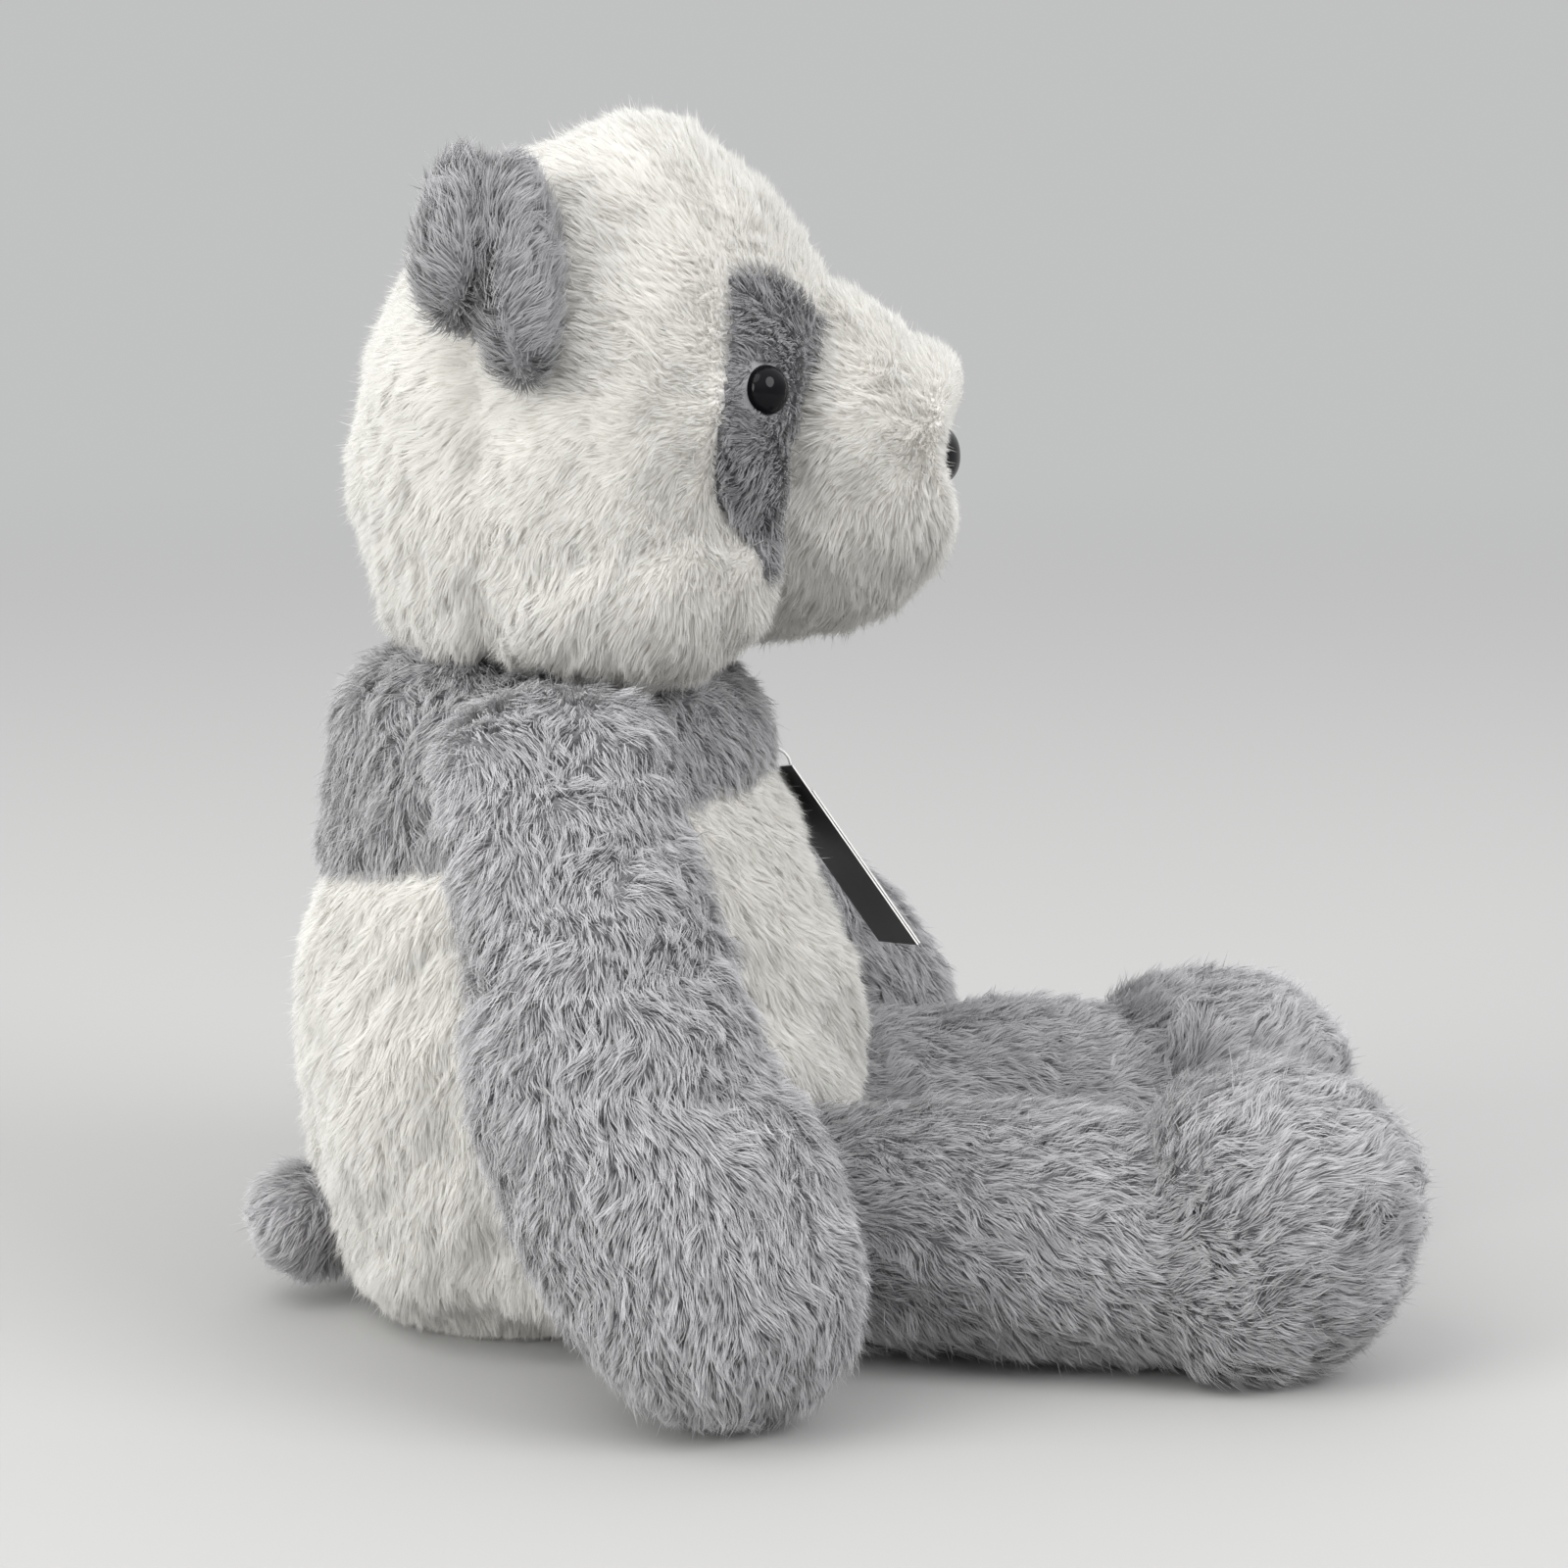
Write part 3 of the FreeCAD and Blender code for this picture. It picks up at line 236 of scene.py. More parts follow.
def pile_material(name, stops, spread, through=0.3, sheen=0.35):
    """Pile fibre: colour darkens from tip to root along v, painted shade deep in the pile, and u picks the tone of
    each tuft.
    """
    m = bpy.data.materials.new(name)
    m.use_nodes = True
    nt = m.node_tree
    nt.nodes.clear()
    out = nt.nodes.new("ShaderNodeOutputMaterial")
    uv = nt.nodes.new("ShaderNodeUVMap")
    uv.uv_map = "OFBake"
    sep = nt.nodes.new("ShaderNodeSeparateXYZ")
    nt.links.new(uv.outputs[0], sep.inputs[0])
    # v runs from root to tip; the darker colour at the root is painted shade between the fibres
    col = ramp(nt, stops, sep.outputs[1])
    k = nt.nodes.new("ShaderNodeMath")
    k.operation = "MULTIPLY"
    k.inputs[1].default_value = 32
    nt.links.new(sep.outputs[0], k.inputs[0])
    fl = nt.nodes.new("ShaderNodeMath")
    fl.operation = "FLOOR"
    nt.links.new(k.outputs[0], fl.inputs[0])
    mr = nt.nodes.new("ShaderNodeMapRange")
    mr.inputs["From Min"].default_value = 0
    mr.inputs["From Max"].default_value = 31
    mr.inputs["To Min"].default_value = 1 - spread
    mr.inputs["To Max"].default_value = 1 + spread
    nt.links.new(fl.outputs[0], mr.inputs["Value"])
    mul = nt.nodes.new("ShaderNodeVectorMath")
    mul.operation = "SCALE"
    nt.links.new(col, mul.inputs[0])
    nt.links.new(mr.outputs[0], mul.inputs["Scale"])
    p = nt.nodes.new("ShaderNodeBsdfPrincipled")
    nt.links.new(mul.outputs[0], p.inputs["Base Color"])
    p.inputs["Roughness"].default_value = 0.75
    p.inputs["Specular IOR Level"].default_value = 0.25
    p.inputs["Sheen Weight"].default_value = sheen
    p.inputs["Sheen Roughness"].default_value = 0.45
    tr = nt.nodes.new("ShaderNodeBsdfTranslucent")
    nt.links.new(mul.outputs[0], tr.inputs["Color"])
    mix = nt.nodes.new("ShaderNodeMixShader")
    mix.inputs[0].default_value = through
    nt.links.new(p.outputs[0], mix.inputs[1])
    nt.links.new(tr.outputs[0], mix.inputs[2])
    nt.links.new(mix.outputs[0], out.inputs[0])
    return m


def plain(name, color, rough, sheen=0.0, coat=0.0, spec=0.5):
    m = bpy.data.materials.new(name)
    m.use_nodes = True
    p = m.node_tree.nodes["Principled BSDF"]
    p.inputs["Base Color"].default_value = (*color, 1)
    p.inputs["Roughness"].default_value = rough
    p.inputs["Sheen Weight"].default_value = sheen
    p.inputs["Coat Weight"].default_value = coat
    p.inputs["Specular IOR Level"].default_value = spec
    return m


# Each ramp runs from root (0.0) to tip (1.0) and is darker at the root: painted shade deep in the pile.
CREAM = [(0.0, (0.70, 0.68, 0.645)), (0.35, (0.785, 0.774, 0.745)), (1.0, (0.868, 0.864, 0.84))]
GREY = [(0.0, (0.21, 0.206, 0.213)), (0.4, (0.395, 0.389, 0.399)), (1.0, (0.66, 0.658, 0.67))]
# The yoke, ear and patch ramps are darker copies of the grey fibre: painted shade where these parts lie in less light.
YOKE_SHADED = [(0.0, (0.19, 0.187, 0.193)), (0.4, (0.35, 0.346, 0.354)), (1.0, (0.585, 0.584, 0.593))]
EARS_SHADED = [(0.0, (0.13, 0.128, 0.134)), (0.4, (0.275, 0.272, 0.28)), (1.0, (0.48, 0.48, 0.49))]
PATCH_SHADED = [(0.0, (0.13, 0.128, 0.134)), (0.4, (0.25, 0.248, 0.256)), (1.0, (0.42, 0.42, 0.43))]
cream_pile = pile_material("cream_pile_fibre", CREAM, 0.035, through=0.5)
grey_pile = pile_material("grey_pile_fibre", GREY, 0.13, through=0.35)
# ear, patch and yoke fibre use the darker ramps: painted shade
ear_pile = pile_material("ear_pile_fibre", EARS_SHADED, 0.13, through=0.3)
patch_pile = pile_material("patch_pile_fibre", PATCH_SHADED, 0.12, through=0.3)
yoke_pile = pile_material("yoke_pile_fibre", YOKE_SHADED, 0.13, through=0.33)
# The backings are darker than the fibre tips: painted shade of the deep pile seen between tufts.
cream_back = plain("cream_pile_backing", (0.74, 0.72, 0.69), 0.95, sheen=0.2)
grey_back = plain("grey_pile_backing", (0.27, 0.267, 0.277), 0.95, sheen=0.2)
black = plain("black_eye_plastic", (0.004, 0.004, 0.005), 0.06, spec=0.12)
nose_black = plain("black_nose_plastic", (0.007, 0.007, 0.008), 0.22, spec=0.22)
card_dark = plain("tag_card_face", (0.035, 0.035, 0.04), 0.35)
card_edge = plain("tag_card_edge", (0.80, 0.79, 0.77), 0.7)
clear = plain("fastener", (0.75, 0.75, 0.73), 0.3)

# ------------------------------------------------------------------ pile


def scatter(skin, density, rng):
    """Evenly random points of the surface. density: per mm2 for each triangle. Returns points and normals."""
    w = skin.area * density
    cum = np.cumsum(w)
    n = int(cum[-1])
    if n < 1:
        return np.zeros((0, 3)), np.zeros((0, 3))
    t = np.searchsorted(cum, (np.arange(n) + rng.random(n)) * cum[-1] / n)
    t = np.minimum(t, len(w) - 1)
    a, b = rng.random(n), rng.random(n)
    flip = a + b > 1
    a[flip], b[flip] = 1 - a[flip], 1 - b[flip]
    c = 1 - a - b
    tri = skin.t[t]
    p = skin.v[tri[:, 0]] * a[:, None] + skin.v[tri[:, 1]] * b[:, None] + skin.v[tri[:, 2]] * c[:, None]
    m = unit(skin.n[tri[:, 0]] * a[:, None] + skin.n[tri[:, 1]] * b[:, None] + skin.n[tri[:, 2]] * c[:, None])
    return p, m


def pile(name, body, skin, mat, slot, where, length, flow, density=2.6, lean=54.0, width=0.235, clump=1.45, gather=0.3,
         stray=0.045, wild=0.8, curved=True, seed=1, floor=True):
    """Pile fibres as fine tapered blades. where(p) gives the share of full density; length(p, n) in mm;
    flow(p, n) the way the pile lies; wild scales how unevenly it lies. Short pile has straight blades."""
    rng = np.random.default_rng(seed)
    tri_mid = skin.v[skin.t].mean(1)
    share = np.asarray(where(tri_mid), float)
    scale = 1.0
    p, n = scatter(skin, share * density * scale, rng)
    if len(p) == 0:
        return None
    cp, cn = scatter(skin, share / (clump * clump), rng)
    jig = waves3(seed * 13 + 5, 17.0)
    fine = waves3(seed * 13 + 55, 6.5)
    swell = waves(seed * 13 + 95, 11.0)

    def directions(q, m, r1, r2):
        f = unit(flow(q, m)) + wild * (0.34 * jig(q) + 0.20 * fine(q))
        f = f - m * (f * m).sum(1, keepdims=True)
        f = unit(f)
        ang = np.radians(lean + wild * (7 * swell(q) + 8 * r1))
        ang = np.clip(ang, np.radians(12), np.radians(80))
        side = np.cross(m, f)
        f = unit(f + side * (0.30 * wild * r2)[:, None])
        return f, ang

    def path(q, m, L, r1, r2):
        f, ang = directions(q, m, r1, r2)
        a0 = np.maximum(ang - np.radians(24), 0.1)
        d0 = m * np.cos(a0)[:, None] + f * np.sin(a0)[:, None]
        mid = q + d0 * (L * 0.5)[:, None]
        a1 = ang + np.radians(20)
        d1 = m * np.cos(a1)[:, None] + f * np.sin(a1)[:, None]
        return mid, mid + d1 * (L * 0.5)[:, None]

    # tufts: each has its own lie and length, and its fibres close up towards its tip
    r1, r2 = rng.normal(size=len(cp)), rng.normal(size=len(cp))
    lc = length(cp, cn) * (1 + 0.13 * rng.normal(size=len(cp)))
    cm, ct = path(cp, cn, lc, r1, r2)
    tree = kdtree.KDTree(len(cp))
    for i, q in enumerate(cp.tolist()):
        tree.insert(q, i)
    tree.balance()
    near = np.array([tree.find(q)[1] for q in p.tolist()])
    ln = lc[near] * (1 + 0.10 * rng.normal(size=len(p)))
    mid, tip = path(p, n, ln, r1[near] * 0.6 + 0.5 * rng.normal(size=len(p)), r2[near] * 0.7 + 0.4 * rng.normal(size=len(p)))
    loose = rng.random(len(p)) < stray
    g = np.where(loose, 0.0, gather)[:, None]
    mid = mid * (1 - 0.35 * g) + (cm[near] + (p - cp[near]) * 0.6) * 0.35 * g
    tip = tip * (1 - g) + (ct[near] + (p - cp[near]) * 0.12) * g
    if loose.any():
        q, m = p[loose], n[loose]
        f = unit(flow(q, m))
        d = unit(m * 1.0 + f * 0.7 + 0.45 * rng.normal(size=q.shape))
        L = ln[loose] * 1.02
        mid[loose] = q + d * (L * 0.5)[:, None]
        tip[loose] = mid[loose] + unit(d + 0.3 * f) * (L * 0.5)[:, None]
    root = p - n * 0.4
    if floor:
        for arr in (mid, tip):
            low = arr[:, 2] < 0.35
            arr[low, 2] = 0.35 + 0.25 * rng.random(low.sum())
        root[:, 2] = np.maximum(root[:, 2], 0.3)
    d1, d2 = unit(mid - root), unit(tip - mid)
    face = unit(n + 0.36 * rng.normal(size=n.shape))
    s1, s2 = unit(np.cross(d1, face)), unit(np.cross(d2, face))
    w = width * (0.75 + 0.5 * rng.random(len(p)))[:, None] / 2
    k = len(p)
    blade = unit(np.cross(np.cross(unit(tip - root), face), unit(tip - root)))
    nm = unit(n * 0.75 + blade * 0.45)
    nt = unit(n * 0.75 + blade * 0.45 + d2 * 0.10)
    # blades face outwards: s = d x face, so (root-, root+, mid+, mid-) turns the right way round for face
    if curved:
        v = np.stack([root - s1 * w, root + s1 * w, mid - s2 * w * 0.85, mid + s2 * w * 0.85, tip], 1)
        turns, sizes = np.array([0, 1, 3, 2, 2, 3, 4]), [4, 3]
    else:
        s1 = unit(np.cross(unit(tip - root), face))
        v = np.stack([root - s1 * w * 1.25, root + s1 * w * 1.25, tip], 1)
        turns, sizes = np.array([0, 1, 2]), [3]
    if floor:
        v[:, :, 2] = np.maximum(v[:, :, 2], 0.2)
    nv, nl, nf = v.shape[1], len(turns), len(sizes)
    me = bpy.data.meshes.new(name)
    me.vertices.add(nv * k)
    me.vertices.foreach_set("co", (v.reshape(-1) * MM).astype(np.float32))
    loops = ((np.arange(k) * nv)[:, None] + turns).reshape(-1)
    me.loops.add(nl * k)
    me.loops.foreach_set("vertex_index", loops.astype(np.int32))
    me.polygons.add(nf * k)
    start = (np.arange(k)[:, None] * nl + np.array([0, 4])[:nf]).reshape(-1)
    me.polygons.foreach_set("loop_start", start.astype(np.int32))
    me.polygons.foreach_set("loop_total", np.tile(sizes, k).astype(np.int32))
    me.polygons.foreach_set("use_smooth", np.ones(nf * k, bool))
    me.materials.append(mat)
    me.update(calc_edges=True)
    uv = me.uv_layers.new(name="OFBake")
    tuft = rng.integers(0, 32, len(cp))
    colm = np.clip(tuft[near] * 0.55 + rng.integers(0, 32, k) * 0.45, 0, 31).astype(int)
    u0, u1 = colm / 32 + 0.002, (colm + 1) / 32 - 0.002
    um = (u0 + u1) / 2
    z, h, o = np.zeros(k), np.full(k, 0.5), np.ones(k)
    uvs = np.stack([u0, z, u1, z, u1, h, u0, h, u0, h, u1, h, um, o] if curved else [u0, z, u1, z, um, o], 1)
    uv.data.foreach_set("uv", uvs.reshape(-1).astype(np.float32))
    vn = np.stack([nm] * (nv - 1) + [nt], 1).reshape(-1, 3)
    me.normals_split_custom_set_from_vertices(vn.tolist())
    ob = bpy.data.objects.new(name, me)
    bpy.context.scene.collection.objects.link(ob)
    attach(ob, body)
    print("pile", name, k)
    return ob


# ------------------------------------------------------------------ sewn forms, from the same dimensions as the solids
TORSO = [(0, 0, 0, 45, 44), (3.5, 0, 0, 50.6, 49.5), (12, 0, 0.3, 56.2, 55), (30, 0, 0.5, 62, 60.5), (48, 0, 0.5, 66, 64.3),
         (68, 0, 1, 67.3, 65.8), (88, 0, 2, 64.4, 62.9), (105, 0, 3, 59.8, 58.3), (120, 0, 5, 55.3, 54), (133, 0, 7, 51.6, 50.5),
         (146, 0, 7, 48.4, 47.2), (153, 0, 6.5, 42.5, 41), (157, 0, 6, 34, 32), (159.2, 0, 5, 24, 23), (160, 0, 4, 12.5, 12)]
HEAD = [(167, 0, 0, 42, 32), (169.5, 0, 0, 49, 39), (175, 0, -2.7, 55, 46.2), (185, 0, -4.5, 60, 52.5), (200, 0, -5.4, 62.5, 55.6),
        (215, 0, -6, 63, 56), (230, 0, -7, 61.5, 54), (243, 0, -8, 56.5, 49.5), (255, 0, -8.3, 49, 42.3), (266, 0, -9.5, 39.5, 34),
        (275, 0, -11.3, 29, 24.3), (281.5, 0, -13.8, 18, 13.8), (285.2, 0, -15, 6, 5)]
MUZ = [(-35, 208, 39, 40), (-60, 208, 35.8, 37.5), (-70, 207.2, 32.0, 35), (-78, 205.8, 26.8, 31), (-84, 205.5, 21.4, 26),
       (-87.3, 207, 14, 16), (-88.2, 208, 5, 6)]
ARM = [(5, -101, -34.5, 4, 5.5), (9, -101, -34.5, 11, 15.5), (17, -101.3, -34, 17.3, 24), (30, -101.5, -32, 21.5, 30),
       (46, -101, -27.5, 22.6, 34), (62, -99, -21, 22.5, 34.6), (80, -95, -12.5, 21.5, 29.5), (98, -89.5, -8, 20.5, 26.3),
       (115, -81, -5, 19.5, 24.5), (131, -71.5, 1, 18, 24), (146, -63.5, 3, 16, 23.3), (152.5, -61.5, 3, 12.5, 18.5),
       (156.4, -60.5, 3, 5, 8)]
FOOT = [(-25.4 + 0.91 * (z + 27), 0, (a + b) / 2, rx, (a - b) / 2) for z, a, b, rx in
        [(-27, -98, -124, 13), (-25, -92, -130, 19.5), (-18, -88, -137, 25.5), (-7, -86, -144.5, 28.5), (6, -86, -148, 29.4),
         (20, -87, -148.2, 29), (30, -89, -143, 25.6), (36, -94.5, -136.5, 20), (39.5, -103.5, -129.5, 12.6), (40.5, -109, -124.5, 7.4)]]
HIP = np.array([-38.0, -45.0, 30.0])
SPLAY = math.radians(8.5)


def turn(axis, angle):
    return np.array(Matrix.Rotation(angle, 3, Vector(axis)))


def groove(dist, depth, wide):
    return -depth * np.exp(-(dist / wide) ** 2)


def yoke_gap(p):
    return (p[:, 2] - (122.5 - (p[:, 1] - 8) * math.tan(math.radians(12.8)))) * math.cos(math.radians(12.8))


def muzzle_gap(p):
    """Positive in front of the muzzle seam."""
    t = math.radians(10.8)
    return -((p[:, 1] + 47) * math.cos(t) + (p[:, 2] - 190) * math.sin(t))


lump = waves(11, 34.0)
pucker = waves(12, 9.0)

# torso
torso = Skin([level(TORSO)], smooth=6)
tv = torso.v
tv[:, 0] *= 1 - 0.24 * smoothstep(14, 0, tv[:, 2])
tv[:, 2] += 5.0 * smoothstep(22, 46, np.abs(tv[:, 0])) * smoothstep(22, 2, tv[:, 2])
tv[:, 2] += 4.0 * smoothstep(10, 36, tv[:, 1]) * smoothstep(128, 150, tv[:, 2])
torso.normals()
g = yoke_gap(torso.v)
torso.push(1.3 + 0.8 * lump(torso.v) + 0.35 * pucker(torso.v) + groove(g, 1.3, 4.0) + 0.8 * np.exp(-((g + 12) / 9) ** 2))

# head: ball and muzzle in one, with cheeks
mz = resample(MUZ, 40)
muz = tube(np.stack([0 * mz[:, 0], mz[:, 0], mz[:, 1]], 1), (1, 0, 0), (0, 0, 1), mz[:, 3], mz[:, 2], 2.25)
cheeks = [ball((sx * 40, -12, 184), (22, 34, 19)) for sx in (-1, 1)]
head = Skin([level(HEAD), muz] + cheeks, smooth=14)
hv = head.v
face_line = hv[:, 1] + 36
back_line = hv[:, 1] - 18
front_part = smoothstep(4, -2, face_line)
hv[:, 2] -= 3.0 * smoothstep(186, 168, hv[:, 2])
head.push(1.4 + 0.7 * lump(hv) + 0.3 * pucker(hv)
          + groove(face_line, 2.0, 4.0) * smoothstep(262, 238, hv[:, 2])
          + groove(back_line, 2.6, 5.0) * smoothstep(268, 235, hv[:, 2])
          + groove(muzzle_gap(hv), 2.2, 3.6) * smoothstep(4, -2, face_line) * smoothstep(6, 26, np.abs(hv[:, 0]))
          - 5.6 * np.exp(-((hv[:, 0] / 24) ** 2 + ((hv[:, 2] - 208) / 8.5) ** 2)) * smoothstep(-70, -80, hv[:, 1])
          + 3.2 * np.exp(-((hv[:, 2] - 225) / 6.0) ** 2) * smoothstep(-76, -84, hv[:, 1])
          + 1.5 * np.exp(-((face_line - 16) / 13) ** 2) * smoothstep(230, 190, hv[:, 2]))

# arm, right: then the left one, mirrored and swung forward
arm_r = Skin([level(ARM)], smooth=6)
arm_r.push(0.4 + 0.7 * lump(arm_r.v + 40) + 0.35 * pucker(arm_r.v + 40))
arm_l = arm_r.mirror()
arm_l.move(turn((1, 0, 0), -math.radians(16)), (0, 0, 0), (0, 2, 146))

# leg in its own frame (hip at the origin, toes along -Y)
s = np.array([-24, -22.5, -19, -12, 0, 25, 60, 104, 108.0])
r = np.array([2, 8.5, 14.7, 20.8, 23, 24.8, 26.2, 26.6, 18])
lt = resample(np.stack([s, r], 1), 60)


def leg_form(fuller, lift, key):
    rise = lift * smoothstep(0, 30, lt[:, 0])
    leg = Skin([tube(np.stack([0 * lt[:, 0], -lt[:, 0], rise], 1), (1, 0, 0), (0, 0, 1), lt[:, 1] + fuller * (lt[:, 0] > -15),
                     lt[:, 1] + fuller * (lt[:, 0] > -15)), level(FOOT)], smooth=10)
    v = leg.v
    ankle = -(v[:, 1] + 92) + 0.12 * v[:, 2]
    return leg.push(0.3 + 0.7 * lump(v + key) + 0.35 * pucker(v + key) + groove(ankle, 1.5, 6.5) * smoothstep(-30, -8, v[:, 2]))


leg_r = leg_form(0, 0, 90)
leg_l = leg_form(2.4, 2.6, 140).mirror()
leg_r.move(turn((0, 0, 1), -SPLAY), HIP)
leg_l.move(turn((0, 0, 1), SPLAY), HIP * np.array([-1, 1, 1]))
for sk in (leg_r, leg_l, torso, arm_r, arm_l):
    sk.v[:, 2] = np.maximum(sk.v[:, 2], 0.25)
    sk.normals()

# ears: a front and a back lobe, with a deep crease at the rim seam between them
c35, s35 = math.cos(math.radians(35)), math.sin(math.radians(35))
NH, ZL = np.array([-c35, 0, s35]), np.array([s35, 0, c35])
YL = np.array([0, 1.0, 0])


def ear_axes(lean, tilt):
    """Axes of a lobe: through its thickness, outwards, along the sewn edge."""
    z = ZL @ turn((1, 0, 0), math.radians(tilt)).T
    y = YL @ turn(ZL, math.radians(lean)).T
    y = unit(y - z * (y @ z))
    return y, np.cross(z, y), z


EAR_CREASE = 17.2
lobes = [ball((-58.5, 10.6, 252.2), (6.6, 12.8, 27.4), ear_axes(-10, -4)),
         ball((-58.0, 23.2, 258.8), (6.6, 12.0, 19.2), ear_axes(14, 3)),
         ball((-52.5, 17.0, 255.0), (10.5, 9.0, 18.0), ear_axes(0, 0))]
ear_r = Skin(lobes, voxel=1.1, smooth=4)
ear_r.push(groove(ear_r.v[:, 1] - EAR_CREASE - 0.06 * (ear_r.v[:, 2] - 255), 1.2, 2.0))
ear_l = ear_r.mirror()

# tail
TD = np.array([0, math.cos(math.radians(22)), -math.sin(math.radians(22))])
TAIL_ROOT = np.array([0, 60.6, 23.5])
TU = np.cross(TD, (1, 0, 0))
tail = Skin([ball(TAIL_ROOT + TD * 9.8, (13.0, 12.0, 9.2), ((1, 0, 0), -TU, TD)),
             ball(TAIL_ROOT + TD * 3.0, (10.5, 9.5, 7), ((1, 0, 0), -TU, TD))], voxel=1.2, smooth=4)

# ------------------------------------------------------------------ regions
EYE = {sx: np.array([sx * 47.3, -43.9, 225.4]) for sx in (-1, 1)}
EYE_N = {sx: unit([sx * 0.70, -0.70, 0.10]) for sx in (-1, 1)}
NOSE = np.array([0, -84.7, 208.0])


def near_eye(p, r):
    return np.minimum(*[np.linalg.norm(p - EYE[sx], axis=1) for sx in (-1, 1)]) < r


def is_patch(p):
    x, y, z = np.abs(p[:, 0]), p[:, 1], p[:, 2]
    top = 250.5 - 0.06 * np.maximum(34 - x, 0) ** 2
    low = 183 + 0.05 * np.maximum(36 - x, 0) ** 2
    back = -36.5 + 3.6 * np.exp(-((z - 207) / 17) ** 2) - 8 * smoothstep(203, 185, z)
    front = 2.6 - 3.4 * smoothstep(232, 214, z)
    return (y < back) & (muzzle_gap(p) < front) & (x > 20) & (z < top) & (z > low)


def is_grey_torso(p):
    return yoke_gap(p) > 0


torso_ob = torso.build("torso_skin", [cream_back, grey_back], lambda c: is_grey_torso(c))
head_ob = head.build("head_skin", [cream_back, grey_back], lambda c: is_patch(c))
arm_r_ob = arm_r.build("arm_skin_right", [grey_back])
arm_l_ob = arm_l.build("arm_skin_left", [grey_back])
leg_r_ob = leg_r.build("leg_skin_right", [grey_back])
leg_l_ob = leg_l.build("leg_skin_left", [grey_back])
ear_r_ob = ear_r.build("ear_skin_right", [grey_back])
ear_l_ob = ear_l.build("ear_skin_left", [grey_back])
tail_ob = tail.build("tail_skin", [grey_back])
for ob, body, slot, fill, nodes in (
        (torso_ob, "torso", "cream_pile", 0.75, ["body_cover", "shoulder_yoke", "base_panel", "torso_filling"]),
        (head_ob, "head", "cream_pile", 0.85, ["head_back_panel", "head_side_panel_right", "head_side_panel_left", "forehead_panel",
                                               "eye_patch_right", "eye_patch_left", "muzzle_cover", "chin_panel", "head_filling"]),
        (arm_r_ob, "arm_right", "grey_pile", 0.7, ["arm_outer_panel_right", "arm_inner_panel_right", "arm_filling_right"]),
        (arm_l_ob, "arm_left", "grey_pile", 0.7, ["arm_outer_panel_left", "arm_inner_panel_left", "arm_filling_left"]),
        (leg_r_ob, "leg_right", "grey_pile", 0.75, ["leg_cover_right", "foot_cover_right", "sole_pad_right", "leg_filling_right"]),
        (leg_l_ob, "leg_left", "grey_pile", 0.75, ["leg_cover_left", "foot_cover_left", "sole_pad_left", "leg_filling_left"]),
        (ear_r_ob, "ear_right", "grey_pile", 0.6, ["ear_outer_panel_right", "ear_inner_panel_right", "ear_padding_right"]),
        (ear_l_ob, "ear_left", "grey_pile", 0.6, ["ear_outer_panel_left", "ear_inner_panel_left", "ear_padding_left"]),
        (tail_ob, "tail", "grey_pile", 0.7, ["tail_cover", "tail_filling"])):
    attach(ob, body)
    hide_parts(*nodes)

# ------------------------------------------------------------------ pile on every form


def under(p, n):
    """Shorter where the toy rests on its seat."""
    return 1 - 0.4 * smoothstep(7, 1, p[:, 2]) * smoothstep(-0.3, -0.8, n[:, 2])


def down(p, n):
    return np.tile([0.0, 0.0, -1.0], (len(p), 1))


def torso_len(base):
    return lambda p, n: base * under(p, n) * (0.8 + 0.2 * smoothstep(0, 5, np.abs(yoke_gap(p))))


def head_flow(p, n):
    v = unit(p - np.array([0, -102, 214.0]))
    low = smoothstep(225, 185, p[:, 2])[:, None]
    return v * (1 - 0.5 * low) + low * np.array([0, 0.1, -0.9]) + np.array([0, 0, -0.32]) * smoothstep(-20, 30, p[:, 1])[:, None]


def head_len(base):
    def f(p, n):
        seam = np.minimum(np.abs(p[:, 1] - 18), 99)
        face = np.where(p[:, 1] < -20, np.minimum(np.abs(p[:, 1] + 36), np.abs(muzzle_gap(p))), 99)
        k = 0.75 + 0.25 * smoothstep(0, 5, np.minimum(seam, face))
        e = np.minimum(*[np.linalg.norm(p - EYE[sx], axis=1) for sx in (-1, 1)])
        k = k * (0.55 + 0.45 * smoothstep(6, 15, e))
        d = np.linalg.norm(p - NOSE, axis=1)
        return base * k * (0.34 + 0.66 * smoothstep(10, 30, d))
    return f


def clear_face(p):
    e = ~near_eye(p, 5.9)
    d = np.sqrt((p[:, 0] / 11.4) ** 2 + ((p[:, 2] - 208) / 9.8) ** 2) > 1
    return e & (d | (p[:, 1] > -70))


def not_neck(p):
    return (np.hypot(p[:, 0], p[:, 1] - 4) > 15) | (p[:, 2] > 180) | (p[:, 2] < 150)


def on_seat(p):
    return np.where(p[:, 2] < 1.2, 0.3, 1.0)


short = dict(density=5.0, width=0.25, clump=1.3, gather=0.22, stray=0.025, wild=0.55, curved=False)
pile("body_pile_rear", "torso", torso, cream_pile, "cream_pile", lambda p: ~is_grey_torso(p) * (p[:, 1] >= 0) * on_seat(p),
     torso_len(5.3), down, lean=60, seed=21, **short)
pile("body_pile_front", "torso", torso, cream_pile, "cream_pile", lambda p: ~is_grey_torso(p) * (p[:, 1] < 0) * on_seat(p),
     torso_len(5.3), down, lean=60, seed=33, **short)
pile("yoke_pile", "torso", torso, yoke_pile, "grey_pile", lambda p: is_grey_torso(p) & not_neck(p), torso_len(6.8), down,
     density=3.4, lean=58, seed=22)
pile("head_pile_rear", "head", head, cream_pile, "cream_pile", lambda p: (p[:, 1] >= -8) & not_neck(p), head_len(5.6), head_flow,
     lean=59, seed=23, **short)
